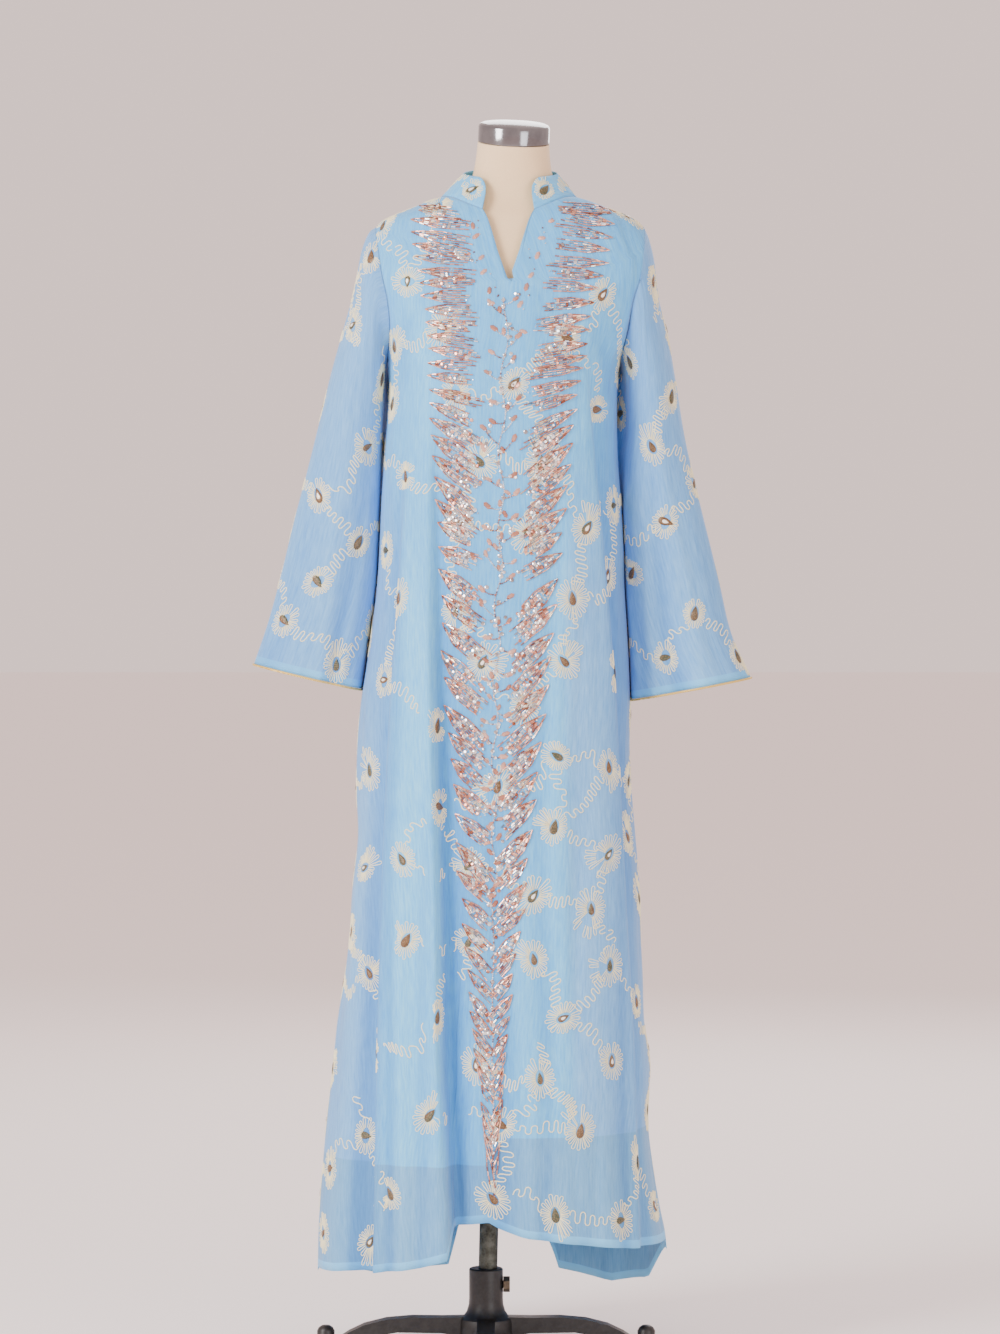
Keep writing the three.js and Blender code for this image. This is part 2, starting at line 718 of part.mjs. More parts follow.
function collarGeometry(front, back) {
  const base = neckline(front, back);
  let length = 0;
  base.slice(1).forEach((p, i) => (length += p.distanceTo(base[i])));
  const reach = COLLAR_ENDS.at(-1);
  const steps = Math.round((length - 2 * reach) / COLLAR_STEP);
  const between = Array.from({ length: steps - 1 }, (_, k) => {
    return THREE.MathUtils.lerp(reach, length - reach, (k + 1) / steps);
  });
  const far = COLLAR_ENDS.map((d) => length - d).reverse();
  const distances = [...COLLAR_ENDS, ...between, ...far];
  const feet = pointsAt(base, distances);
  const top = COLLAR_TOP;
  const points = [];
  const columns = feet.map((foot, i) => {
    const angle = Math.atan2(foot.y - top.middleY, foot.x - top.middleX);
    const depth = foot.y < top.middleY ? top.front : top.back;
    const x = top.middleX + top.half * Math.cos(angle);
    const y = top.middleY + depth * Math.sin(angle);
    const head = new THREE.Vector3(x, y, top.height + top.tilt * (y - top.middleY));
    const fromEnd = Math.min(distances[i], length - distances[i]);
    const round = Math.min(fromEnd / COLLAR_ROUND, 1);
    const share = COLLAR_END_SHARE + (1 - COLLAR_END_SHARE) * Math.sqrt(1 - (1 - round) * (1 - round));
    const low = foot.clone();
    low.z += SEAM_GAP + 0.2;
    return Array.from({ length: COLLAR_ROWS + 1 }, (_, k) => {
      return points.push(low.clone().lerp(head, (share * k) / COLLAR_ROWS)) - 1;
    });
  });
  const faces = [];
  for (let i = 0; i + 1 < columns.length; i += 1) {
    for (let k = 0; k < COLLAR_ROWS; k += 1) {
      const [a, b] = [columns[i][k], columns[i + 1][k]];
      const [c, d] = [columns[i + 1][k + 1], columns[i][k + 1]];
      faces.push([a, c, b], [a, d, c]);
    }
  }
  const normals = normalsOf(points, faces);
  for (const column of columns) {
    normals[column[0]].z = 0; // the lower edge is level, on the neckline's seam
    normals[column[0]].normalize();
  }
  return wallGeometry(points, moved(points, normals, -CLOTH_WALL), faces);
}

// A closed body through level rings, with a flat cap at each end
function ringBody(rings) {
  const around = rings[0].length;
  const points = rings.flat();
  const faces = tubeFaces(rings.length, around, RIGHT);
  const capped = [
    [rings[0], 0, true],
    [rings.at(-1), (rings.length - 1) * around, false],
  ];
  for (const [ring, first, below] of capped) {
    const middle = new THREE.Vector3();
    for (const p of ring) middle.addScaledVector(p, 1 / around);
    const hub = points.push(middle) - 1;
    for (let i = 0; i < around; i += 1) {
      const [a, b] = [first + i, first + ((i + 1) % around)];
      faces.push(below ? [hub, b, a] : [hub, a, b]);
    }
  }
  const geometry = new THREE.BufferGeometry();
  const positions = points.flatMap((p) => [p.x, p.y, p.z]);
  geometry.setAttribute("position", new THREE.Float32BufferAttribute(positions, 3));
  geometry.setIndex(faces.flat());
  return geometry;
}

function formRing(row) {
  return Array.from({ length: FORM_AROUND }, (_, k) => {
    const angle = (2 * Math.PI * k) / FORM_AROUND;
    const across = signedPower(Math.cos(angle), 2 / FULLNESS);
    const along = signedPower(Math.sin(angle), 2 / FULLNESS);
    const y = (along < 0 ? row.front : row.back) * along;
    const tilt = Math.tan(THREE.MathUtils.degToRad(row.tilt));
    const roll = Math.tan(THREE.MathUtils.degToRad((NECK_ROLL * row.tilt) / NECK_TILT));
    const x = row.half * across;
    return new THREE.Vector3(row.z * LEAN + x, row.lean + y, row.z + tilt * y - roll * x);
  });
}

function toSolid(geometry) {
  const bare = geometry.clone();
  bare.deleteAttribute("normal");
  bare.deleteAttribute("uv");
  const merged = mergeVertices(bare, 1e-4);
  return new wasm.Manifold(
    new wasm.Mesh({
      numProp: 3,
      vertProperties: new Float32Array(merged.attributes.position.array),
      triVerts: new Uint32Array(merged.index.array),
    }),
  );
}

function toGeometry(solid) {
  const mesh = solid.getMesh();
  const positions = new Float32Array(mesh.numVert * 3);
  for (let i = 0; i < mesh.numVert; i += 1) {
    positions.set(mesh.vertProperties.subarray(i * mesh.numProp, i * mesh.numProp + 3), i * 3);
  }
  const geometry = new THREE.BufferGeometry();
  geometry.setAttribute("position", new THREE.BufferAttribute(positions, 3));
  geometry.setIndex(new THREE.BufferAttribute(mesh.triVerts, 1));
  return geometry;
}

// A round body about +Z from its outline of radius and height
function turned(outline, around) {
  const points = outline.map(([r, z]) => new THREE.Vector2(r, z));
  return new THREE.LatheGeometry(points, around).rotateX(Math.PI / 2);
}

// A round bar along the leaning axis between two heights
function leaningBar(radius, low, high, around) {
  const bar = new THREE.CylinderGeometry(radius, radius, (high - low) * Math.hypot(1, LEAN), around);
  const middle = (low + high) / 2;
  return bar
    .rotateX(Math.PI / 2)
    .rotateY(Math.atan(LEAN))
    .translate(middle * LEAN, 0, middle);
}

// A leg's side outline, as reach from the axis and height
const LEG_OUTLINE = table(["reach", "z"], [
  [12, 50],
  [60, 49],
  [100, 49.5],
  [135, 46.5],
  [165, 39],
  [186, 29],
  [198, 21],
  [212, 17],
  [212, 7],
  [198, 9],
  [165, 21],
  [120, 29],
  [60, 28],
  [12, 20],
]);

// The hub with its socket, and the round foot at a leg's end
const HUB_OUTLINE = table(["r", "z"], [
  [0, 20],
  [34, 20],
  [37, 24],
  [37, 40],
  [36, 47],
  [30, 51],
  [26, 57],
  [23.5, 66],
  [SOCKET_R, 74],
  [SOCKET_R, SOCKET_TOP - 1.5],
  [SOCKET_R - 1.5, SOCKET_TOP],
  [0, SOCKET_TOP],
]);
const FOOT_OUTLINE = table(["r", "z"], [
  [0, PAD_HIGH + SEAM_GAP],
  [FOOT_R + 2, PAD_HIGH + SEAM_GAP],
  [FOOT_R + 2, 12],
  [FOOT_R, 15],
  [FOOT_R, 30],
  [FOOT_R * 0.8, 34.5],
  [FOOT_R * 0.45, 37.2],
  [0, 38],
]);

function standGeometry() {
  let solid = toSolid(turned(HUB_OUTLINE.map((p) => [p.r, p.z]), ROUND));
  const legShape = new THREE.Shape(LEG_OUTLINE.map((p) => new THREE.Vector2(p.reach, p.z)));
  for (let k = 0; k < 4; k += 1) {
    const leg = new THREE.ExtrudeGeometry(legShape, { depth: LEG_WIDTH, bevelEnabled: false });
    leg.rotateX(Math.PI / 2).translate(0, LEG_WIDTH / 2, 0).rotateZ((k * Math.PI) / 2);
    const foot = turned(FOOT_OUTLINE.map((p) => [p.r, p.z]), ROUND / 2);
    foot.translate(FOOT_REACH, 0, 0).rotateZ((k * Math.PI) / 2);
    solid = solid.add(toSolid(leg)).add(toSolid(foot));
  }
  const bore = leaningBar(POLE_R + POLE_FIT, POLE_FOOT - SEAM_GAP, SOCKET_TOP + SOCKET_R, ROUND);
  const screwHole = SCREW_R + POLE_FIT;
  const hole = new THREE.CylinderGeometry(screwHole, screwHole, SOCKET_R + SCREW_R, ROUND / 2);
  hole.rotateZ(Math.PI / 2).translate((SOCKET_R + SCREW_R) / 2, 0, SCREW_HEIGHT);
  return toGeometry(solid.subtract(toSolid(bore)).subtract(toSolid(hole)));
}

function screwGeometry() {
  const tip = SCREW_HEIGHT * LEAN + POLE_R + SEAM_GAP;
  const face = SOCKET_R + SEAM_GAP;
  const head = new THREE.CylinderGeometry(SCREW_HEAD_R, SCREW_HEAD_R, SCREW_HEAD_LONG, 6);
  head.rotateZ(Math.PI / 2).translate(face + SCREW_HEAD_LONG / 2, 0, SCREW_HEIGHT);
  const end = face + SCREW_HEAD_LONG / 4; // the shank runs a little way into the head
  const shank = new THREE.CylinderGeometry(SCREW_R, SCREW_R, end - tip, ROUND / 2);
  shank.rotateZ(Math.PI / 2).translate((end + tip) / 2, 0, SCREW_HEIGHT);
  return toGeometry(toSolid(head).add(toSolid(shank)));
}

function formGeometry() {
  const bore = leaningBar(POLE_R + POLE_FIT, FORM_FOOT - POLE_R, POLE_TOP + SEAM_GAP, ROUND);
  return toGeometry(toSolid(ringBody(FORM.map(formRing))).subtract(toSolid(bore)));
}

const CAP_OUTLINE = table(["r", "z"], [
  [0, 0],
  [CAP_R - 1, 0],
  [CAP_R, 1],
  [CAP_R, 21],
  [CAP_R - 1.5, 24],
  [CAP_R - 6, 26],
  [CAP_R * 0.4, 28.5],
  [0, 29],
]);

function capGeometry() {
  const cap = turned(CAP_OUTLINE.map((p) => [p.r, p.z]), 1.25 * ROUND);
  const neck = FORM.at(-1);
  const tilt = THREE.MathUtils.degToRad(NECK_TILT);
  const roll = THREE.MathUtils.degToRad(NECK_ROLL);
  return cap
    .translate(0, 0, SEAM_GAP)
    .rotateX(tilt)
    .rotateY(roll)
    .translate(NECK_TOP * LEAN, neck.lean, NECK_TOP);
}

function material(color, roughness, metalness) {
  return new THREE.MeshStandardMaterial({ color, roughness, metalness });
}

const chiffon = material(0xa9cfec, 0.8, 0);
const liningCloth = material(0xa0c4e0, 0.75, 0);
const goldCord = material(0xc8af6e, 0.35, 0.8);
const linen = material(0xd9c3a3, 0.9, 0);
const chrome = material(0xdadada, 0.12, 1);
const steel = material(0x7b7c74, 0.45, 0.9);
const castIron = material(0x1f1e1e, 0.55, 0.4);
const rubber = material(0x262626, 0.9, 0);

const part = new THREE.Group();
function add(name, geometry, finish) {
  const mesh = new THREE.Mesh(geometry, finish);
  mesh.name = name;
  part.add(mesh);
  return mesh;
}

const frontSheet = joinedPanel(FRONT);
const backSheet = joinedPanel(BACK);
add("front_panel", panelGeometry(frontSheet), chiffon);
add("back_panel", panelGeometry(backSheet), chiffon);
add("lining_front", liningGeometry(frontSheet), liningCloth);
add("lining_back", liningGeometry(backSheet), liningCloth);
add("collar", collarGeometry(frontSheet, backSheet), chiffon);
for (const [side, word] of [[LEFT, "left"], [RIGHT, "right"]]) {
  const sleeve = sleeveSheet(side);
  add(`sleeve_${word}`, sleeveGeometry(sleeve), chiffon);
  add(`cuff_piping_${word}`, pipingGeometry(sleeve), goldCord);
}

add("form_torso", formGeometry(), linen);
add("neck_cap", capGeometry(), chrome);
add("pole", leaningBar(POLE_R, POLE_FOOT, POLE_TOP, ROUND), steel);
add("stand_base", standGeometry(), castIron);
add("clamp_screw", screwGeometry(), steel);
["right", "back", "left", "front"].forEach((word, k) => {
  const pad = turned([[0, 0], [PAD_R, 0], [PAD_R, PAD_HIGH], [0, PAD_HIGH]], 20);
  pad.translate(FOOT_REACH, 0, 0).rotateZ((k * Math.PI) / 2);
  add(`pad_${word}`, pad, rubber);
});

// The origin goes to the floor under the middle of the whole
const box = new THREE.Box3().setFromObject(part);
const middle = box.getCenter(new THREE.Vector3());
part.position.set(-middle.x, -middle.y, -box.min.z);

export default part;
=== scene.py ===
# %% [markdown]
# # A beaded chiffon kaftan on a dress form
#
# The kaftan hangs from a limbless form on a pole and a cast stand. The frame is the model that
# was made before: its solids give every size and place. This file dresses them, piece by piece.
# All tables are in millimetres from the point where the stand's axis meets the floor, because a
# cutter thinks in millimetres. They become metres when a mesh is made.

import math
from collections import namedtuple

import bmesh
import bpy
import numpy as np
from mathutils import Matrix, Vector
from mathutils.bvhtree import BVHTree


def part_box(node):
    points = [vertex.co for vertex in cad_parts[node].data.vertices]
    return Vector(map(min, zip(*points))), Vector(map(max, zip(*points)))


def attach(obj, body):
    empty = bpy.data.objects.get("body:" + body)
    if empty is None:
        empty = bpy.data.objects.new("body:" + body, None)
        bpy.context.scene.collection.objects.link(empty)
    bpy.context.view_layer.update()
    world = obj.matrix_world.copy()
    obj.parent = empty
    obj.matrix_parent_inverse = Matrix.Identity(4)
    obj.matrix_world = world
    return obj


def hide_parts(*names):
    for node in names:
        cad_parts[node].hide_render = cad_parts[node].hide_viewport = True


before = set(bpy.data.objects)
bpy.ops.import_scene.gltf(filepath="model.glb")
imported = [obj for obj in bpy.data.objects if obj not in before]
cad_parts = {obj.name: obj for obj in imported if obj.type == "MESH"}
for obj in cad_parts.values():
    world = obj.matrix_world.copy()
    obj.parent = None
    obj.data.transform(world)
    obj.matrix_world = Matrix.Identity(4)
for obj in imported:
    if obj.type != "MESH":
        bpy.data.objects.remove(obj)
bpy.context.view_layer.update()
stand_low, stand_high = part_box("stand_base")
STAND_X = (stand_low[0] + stand_high[0]) / 2
GARMENT = "dressed_form"

# %% [markdown]
# ## The camera
#
# The kaftan was photographed with a long lens from about six metres, a little above the waist.
# A long lens keeps the skirt's hem and the shoulders at nearly the same scale. The camera comes
# first, so that each piece can be looked at as soon as it is made.

# %% Camera
CAMERA_AWAY = 6.0
CAMERA_HEIGHT = 1.06
LOOK_AT_HEIGHT = 0.929
VIEW_HEIGHT = 1.801
CAMERA_SIDE = 0.0189

camera_data = bpy.data.cameras.new("long_lens")
camera_data.lens = camera_data.sensor_width * CAMERA_AWAY / VIEW_HEIGHT
camera = bpy.data.objects.new("long_lens", camera_data)
bpy.context.collection.objects.link(camera)
camera.location = (STAND_X + CAMERA_SIDE, -CAMERA_AWAY, CAMERA_HEIGHT)
camera_aim = Vector((0, CAMERA_AWAY, LOOK_AT_HEIGHT - CAMERA_HEIGHT))
camera.rotation_euler = camera_aim.to_track_quat("-Z", "Y").to_euler()
bpy.context.scene.camera = camera
print("lens", round(camera_data.lens, 1), "mm")

# %% [markdown]
# ## The cut of the body
#
# The body is a front and a back, sewn at the sides and the shoulders. A table gives where the
# side seams are at each height, and how far the cloth stands forward and back. Each level
# section is a rounded oval, squarer than an ellipse, as cloth over a body is.

# %% Tables of the body
FRONT, BACK = -1, 1
LEFT, RIGHT = -1, 1
PANEL_NAME = {FRONT: "front", BACK: "back"}
SIDE_NAME = {LEFT: "left", RIGHT: "right"}
FULLNESS = 2.3


def table(columns, rows):
    return {name: np.array([row[i] for row in rows], float) for i, name in enumerate(columns)}


BODY = table(["z", "left", "right", "front", "back"], [
    [40, -229, 252, 181, 193], [160, -227, 243, 177, 189], [200, -225, 235, 175, 187],
    [267, -220, 224, 172, 184], [320, -215, 219, 169, 181], [390, -207, 222, 166, 177],
    [450, -201, 214, 163, 173], [510, -191, 212, 160, 169], [572, -184, 209, 157, 166],
    [624, -181, 208, 155, 164], [700, -173, 202, 152, 160], [760, -175, 197, 150, 157],
    [820, -174, 194, 147, 154], [880, -169, 195, 143, 150], [940, -160, 193, 138, 146],
    [990, -153, 190, 134, 141], [1040, -147, 187, 130, 135], [1090, -144, 186, 126, 128],
    [1160, -141, 182, 122, 118], [1215, -137, 178, 124, 111], [1300, -131, 177, 132, 106],
    [1342, -132, 181, 132, 108], [1381, -128, 190, 125, 108], [1420, -131, 197, 115, 106],
    [1452, -138, 207, 106, 103], [1484, -143, 211, 98, 98], [1522, -147, 212, 85, 88],
    [1531, -137, 201, 81, 85], [1538, -122, 187, 77, 81], [1545, -104, 169, 72, 77],
    [1556, -78, 141, 63, 70], [1562, -60, 121, 59, 65], [1580, -26, 88, 50, 58],
])
FRONT_HEM = table(["x", "z"], [
    [-240, 118], [-190, 128], [-148, 133], [-88, 142], [-50, 154], [-38, 196], [8, 201],
    [23, 192], [55, 181], [124, 171], [194, 161], [252, 157],
])
BACK_HEM = table(["x", "z"], [
    [-240, 118], [-190, 96], [-150, 84], [-54, 88], [-38, 150], [0, 155], [82, 138],
    [98, 84], [170, 73], [220, 86], [252, 157],
])
HEMS = {FRONT: FRONT_HEM, BACK: BACK_HEM}
LINING_HEM = table(["x", "z"], [[-240, 276], [0, 276], [20, 312], [252, 312]])

UNDERARM = 1342
SHOULDER_TIP = 1522
NECK_POINT = 1562
NECKLINE = {"middle": 31, "half": 91, "front": 80, "back": 62}
NOTCH_X = 30
NOTCH_HALF = 34.5
HEM_LEVEL = 140
MIDDLE_RISE = 14.3
ARMHOLE_MIDDLE = (SHOULDER_TIP + UNDERARM) / 2
ARMHOLE_HALF = (SHOULDER_TIP - UNDERARM) / 2
ARMHOLE_REACH = {FRONT: 66, BACK: 70}
ARMHOLE_STEPS, NOTCH_STEPS, SHOULDER_STEPS = 10, 7, 4

# %% [markdown]
# Between the rows of a table a smooth curve has to run, or the cloth would show a crease at
# each row. A cubic piece with the slope of its neighbours does that with a few lines of NumPy.

# %% Reading a table
def smooth(rows, key, column, value):
    k, v = rows[key], rows[column]
    value = np.asarray(value, float)
    i = np.clip(np.searchsorted(k, value) - 1, 0, len(k) - 2)
    ahead, behind = np.append(v[1:], v[-1]), np.append(v[0], v[:-1])
    k_ahead, k_behind = np.append(k[1:], k[-1]), np.append(k[0], k[:-1])
    slope = (ahead - behind) / (k_ahead - k_behind)
    width = k[i + 1] - k[i]
    s = np.clip((value - k[i]) / width, 0, 1)
    rise = s * s * (3 - 2 * s)
    bend = slope[i] * width * s * (1 - s) ** 2 - slope[i + 1] * width * s * s * (1 - s)
    return v[i] * (1 - rise) + v[i + 1] * rise + bend


def signed_power(value, power):
    return np.sign(value) * np.abs(value) ** power


def armhole_reach(panel, z):
    share = (np.asarray(z, float) - ARMHOLE_MIDDLE) / ARMHOLE_HALF
    return ARMHOLE_REACH[panel] * np.sqrt(np.clip(1 - share * share, 0, 1))


def section(panel, z):
    left = smooth(BODY, "z", "left", z)
    right = smooth(BODY, "z", "right", z)
    depth = smooth(BODY, "z", PANEL_NAME[panel], z)
    end = np.arccos((armhole_reach(panel, z) / depth) ** (FULLNESS / 2))
    half = (right - left) / 2 / np.sin(end) ** (2 / FULLNESS)
    return (left + right) / 2, half, depth, end


def place_of(panel, x, z):
    middle, half, _, end = section(panel, z)
    share = np.clip((x - middle) / half, -1, 1)
    return np.arcsin(signed_power(share, FULLNESS / 2)) / end


# %% [markdown]
# ## Folds and creases
#
# Chiffon falls in long folds from the bust and the shoulder blades. The large ones are edges
# over which the cloth laps, and they are in the solids too. The small ones are soft ridges and
# troughs, placed so that no two are alike: each has its own line, width and height.

# %% Tables of the folds
FOLD_STEP = 7
Fold = namedtuple("Fold", "panel half high reach edge lift")
FOLDS = [
    Fold(FRONT, LEFT, RIGHT, 34,
         edge=[(140, -147), (403, -142), (690, -135), (912, -124), (1154, -107), (1342, -98)],
         lift=[(140, 17), (500, 15), (800, 12), (1000, 8), (1154, 5), (1260, 0)]),
    Fold(FRONT, LEFT, LEFT, 42,
         edge=[(140, -43), (213, -45), (403, -56), (614, -58), (912, -66), (1342, -72)],
         lift=[(140, 24), (500, 22), (800, 18), (1000, 12), (1154, 7), (1280, 0)]),
    Fold(FRONT, RIGHT, LEFT, 40,
         edge=[(140, 206), (441, 196), (686, 183), (912, 171), (1154, 150), (1342, 132)],
         lift=[(140, 9), (440, 12), (800, 15), (1100, 13), (1250, 8), (1342, 0)]),
    Fold(BACK, LEFT, LEFT, 55, edge=[(84, -46), (600, -50), (1342, -44)],
         lift=[(84, 24), (500, 20), (900, 12), (1250, 0)]),
    Fold(BACK, RIGHT, RIGHT, 48, edge=[(84, 90), (600, 86), (1342, 78)],
         lift=[(84, 22), (500, 18), (900, 12), (1250, 0)]),
]
LIT, SHADED = -0.6, 1.0
# painted light: the back panel's lower part is coloured lighter where it hangs in shade
BACK_LIT = {"below": 460, "over": 90, "by": 0.9}
CREASES = {
    FRONT: table(["low", "x_low", "high", "x_high", "width", "out"], [
        [150, -196, 900, -150, 13, 3.4], [150, -174, 700, -152, 10, -2.6],
        [160, -112, 1080, -86, 15, 3.0], [190, -88, 820, -80, 9, -2.4],
        [180, -14, 640, -4, 16, 3.2], [230, 24, 900, 16, 12, -2.2],
        [190, 62, 760, 50, 15, 3.6], [190, 113, 1120, 101, 19, 5.2], [260, 80, 900, 72, 12, -2.0],
        [170, 122, 690, 112, 11, -2.8], [180, 152, 980, 134, 14, 3.4],
        [160, 228, 620, 200, 11, 2.8], [700, 96, 1250, 104, 9, 1.6],
        [1180, -60, 1480, -104, 16, 2.0], [1200, 118, 1500, 160, 15, 1.8],
        [1290, -120, 1420, -96, 9, -1.6], [560, -129, 1190, -113, 7, -3.4],
        [200, -122, 640, -129, 6, -3.2], [620, -104, 1110, -93, 9, 2.8],
        [240, 186, 1050, 168, 7, -3.2], [1280, 168, 1410, 142, 9, -1.8],
    ]),
    BACK: table(["low", "x_low", "high", "x_high", "width", "out"], [
        [130, -190, 980, -138, 14, 3.4], [120, -150, 720, -124, 11, -2.8],
        [110, -104, 900, -86, 15, 3.2], [170, -12, 1150, 4, 18, 3.0],
        [170, 26, 700, 30, 12, -2.6], [160, 58, 960, 52, 13, 2.8],
        [100, 130, 820, 118, 14, 3.4], [110, 164, 640, 146, 11, -2.6],
        [140, 205, 900, 172, 13, 3.0], [1120, -70, 1490, -112, 15, 1.8],
        [1100, 112, 1480, 164, 16, 2.0], [1240, -22, 1500, -30, 13, -1.4],
        [1240, 86, 1500, 92, 12, -1.4],
    ]),
}


def line_at(line, z):
    """Where a line of (height, value) pairs is at a height."""
    return np.interp(z, *zip(*line))


def fades(value, width):
    """1 well below zero and 0 well above it, with a soft step between."""
    return 1 / (1 + np.exp(np.clip(value / width, -40, 40)))


def fold_lift(panel, x, z):
    out = np.zeros(np.broadcast(x, z).shape)
    for fold in FOLDS:
        if fold.panel == panel:
            past = (x - line_at(fold.edge, z)) * fold.high
            steep = np.tanh(1.4 * past / FOLD_STEP)
            out += line_at(fold.lift, z) * steep * np.exp(-np.abs(past) / fold.reach)
    return out


def crease_lift(panel, x, z):
    rows = CREASES[panel]
    out = np.zeros(np.broadcast(x, z).shape)
    for low, x_low, high, x_high, width, size in zip(*rows.values()):
        along = np.clip((z - low) / (high - low), 0, 1)
        wander = 0.35 * width * np.sin(along * 9 + x_low)
        across = (x - (x_low + (x_high - x_low) * along) - wander) / width
        short = np.abs(np.sin(along * math.pi)) ** 0.6
        from_hem = np.abs(np.cos(along * math.pi / 2)) ** 0.7
        swell = short if low > 1000 else from_hem
        out += size * swell * np.exp(-across * across)
    return out


def painted_light_and_shade(panel, x, z):
    """Painted shade in a point's colour: most just behind a fold's edge, some in a trough;
    painted light on ridges and on the lit side of an edge.
    """
    tone = np.clip(-crease_lift(panel, x, z) / 3, LIT, SHADED) * 0.75
    for fold in FOLDS:
        if fold.panel == panel:
            past = (x - line_at(fold.edge, z)) * fold.high
            behind = fades(past, 1.8)
            shade = behind * np.exp(-np.abs(past) / fold.reach)
            shine = 0.35 * (1 - behind) * np.exp(-np.abs(past) / 24)
            tone = tone + line_at(fold.lift, z) / 14 * (shade - shine)
    # painted light: the back panel's lower part is made lighter in colour
    if panel == BACK:
        tone = tone - BACK_LIT["by"] * np.clip((BACK_LIT["below"] - z) / BACK_LIT["over"], 0, 1)
    return np.clip(tone, LIT, SHADED)


LOOSE_EDGES = {
    FRONT: [(LEFT, [(140, -147), (403, -142), (690, -135), (912, -124), (1154, -107)]),
            (RIGHT, [(140, 118), (403, 116), (690, 110), (912, 106), (1154, 112)])],
    BACK: [(LEFT, [(84, -92), (600, -88), (1154, -80)]),
           (RIGHT, [(84, 124), (600, 120), (1154, 112)])],
}


def looseness(panel, x, z):
    """1 where the chiffon hangs clear of the lining at a side, 0 where it lies on it."""
    loose = np.zeros(x.shape)
    for side, edge in LOOSE_EDGES[panel]:
        loose += fades((line_at(edge, z) - x) * side, 4)
    return loose * np.clip((1230 - z) / 200, 0, 1)


def panel_point(panel, share, z):
    middle, half, depth, end = section(panel, z)
    angle = share * end
    across = signed_power(np.sin(angle), 2 / FULLNESS)
    ahead = signed_power(np.cos(angle), 2 / FULLNESS)
    x = middle + half * across
    y = panel * depth * ahead
    out_x = signed_power(across, FULLNESS - 1) / half
    out_y = panel * signed_power(ahead, FULLNESS - 1) / depth
    length = np.hypot(out_x, out_y)
    lift = (fold_lift(panel, x, z) + crease_lift(panel, x, z)) * (1 - np.abs(share) ** 6)
    return np.stack([x + out_x / length * lift, y + out_y / length * lift, z + 0 * x], axis=-1)


# %% [markdown]
# ## Laying the panels out as grids
#
# A panel is a grid of points: rows go up from the hem to the shoulder, columns follow the
# folds' edges. The grid has the same rule as the solid below it, only with more steps, so the
# thin cloth lies on the solid's form everywhere.

# %% Grid of a panel
SKIRT_ROWS = 112
FINER = 3
COLUMNS = {
    FRONT: {LEFT: [14, 8, 12, 8, 16], RIGHT: [16, 8, 26]},
    BACK: {LEFT: [20, 8, 18], RIGHT: [20, 8, 18]},
}


def columns_of(panel, half, z):
    knots = [0.0]
    for fold in FOLDS:
        if (fold.panel, fold.half) == (panel, half):
            x = line_at(fold.edge, z)
            for step in (FOLD_STEP, -FOLD_STEP):
                knots.append(1 - abs(float(place_of(panel, x + half * step, z))))
    knots.append(1.0)
    parts = [np.linspace(a, b, n, endpoint=False)
             for a, b, n in zip(knots, knots[1:], COLUMNS[panel][half])]
    return np.append(np.concatenate(parts), 1.0)


def height_at(panel, x, reach):
    low, high = np.full(x.shape, float(UNDERARM)), np.full(x.shape, NECK_POINT + 20.0)
    for _ in range(36):
        z = (low + high) / 2
        middle, half, depth, _ = section(panel, z)
        share = np.minimum(np.abs(x - middle) / half, 1)
        below = depth * (1 - share ** FULLNESS) ** (1 / FULLNESS) > reach
        low, high = np.where(below, z, low), np.where(below, high, z)
    return (low + high) / 2


def half_grid(panel, half):
    hem, rows = HEMS[panel], []
    for share in np.arange(SKIRT_ROWS) / SKIRT_ROWS:
        level = HEM_LEVEL + (UNDERARM - HEM_LEVEL) * share
        spot = half * (1 - columns_of(panel, half, level))
        foot = np.interp(panel_point(panel, spot, np.full(spot.shape, float(HEM_LEVEL)))[:, 0],
                         hem["x"], hem["z"])
        rows.append(panel_point(panel, spot, foot + (UNDERARM - foot) * share))
    columns = columns_of(panel, half, UNDERARM)
    for k in np.arange(ARMHOLE_STEPS * FINER + 1) / FINER:
        seam = ARMHOLE_MIDDLE - ARMHOLE_HALF * math.cos(math.pi * k / ARMHOLE_STEPS)
        middle = UNDERARM + MIDDLE_RISE * k
        opened = NOTCH_HALF * (k - NOTCH_STEPS) / (ARMHOLE_STEPS + SHOULDER_STEPS - NOTCH_STEPS)
        edge = 0.0
        if panel == FRONT and opened > 0:
            edge = abs(float(place_of(panel, NOTCH_X + half * opened, middle)))
        spot = half * (1 + (edge - 1) * columns)
        z = seam + (middle - seam) * np.sin(columns * math.pi / 2)
        rows.append(panel_point(panel, spot, z))
    tip = rows[-1]
    notch = half * (NOTCH_X + half * NOTCH_HALF - NECKLINE["middle"]) / NECKLINE["half"]
    end_angle = math.acos(notch) if panel == FRONT else math.pi / 2
    deep = NECKLINE[PANEL_NAME[panel]]
    neck_x = NECKLINE["middle"] + half * NECKLINE["half"] * np.cos(columns * end_angle)
    neck_y = deep * np.sin(columns * end_angle)
    for share in np.arange(1, SHOULDER_STEPS * FINER + 1) / (SHOULDER_STEPS * FINER):
        x = tip[:, 0] + (neck_x - tip[:, 0]) * share
        z = height_at(panel, x, np.abs(tip[:, 1]) + (neck_y - np.abs(tip[:, 1])) * share)
        row = panel_point(panel, place_of(panel, x, z), z)
        seam = SHOULDER_TIP + (NECK_POINT - SHOULDER_TIP) * share
        row[0] = panel_point(panel, np.array([float(half)]), np.array([seam]))[0]
        rows.append(row)
    return np.array(rows)


def grid_normals(points):
    across = np.gradient(points, axis=1)
    up = np.gradient(points, axis=0)
    normals = np.cross(across, up)
    return normals / np.linalg.norm(normals, axis=-1, keepdims=True)


NOTCH_ROW = SKIRT_ROWS + NOTCH_STEPS * FINER


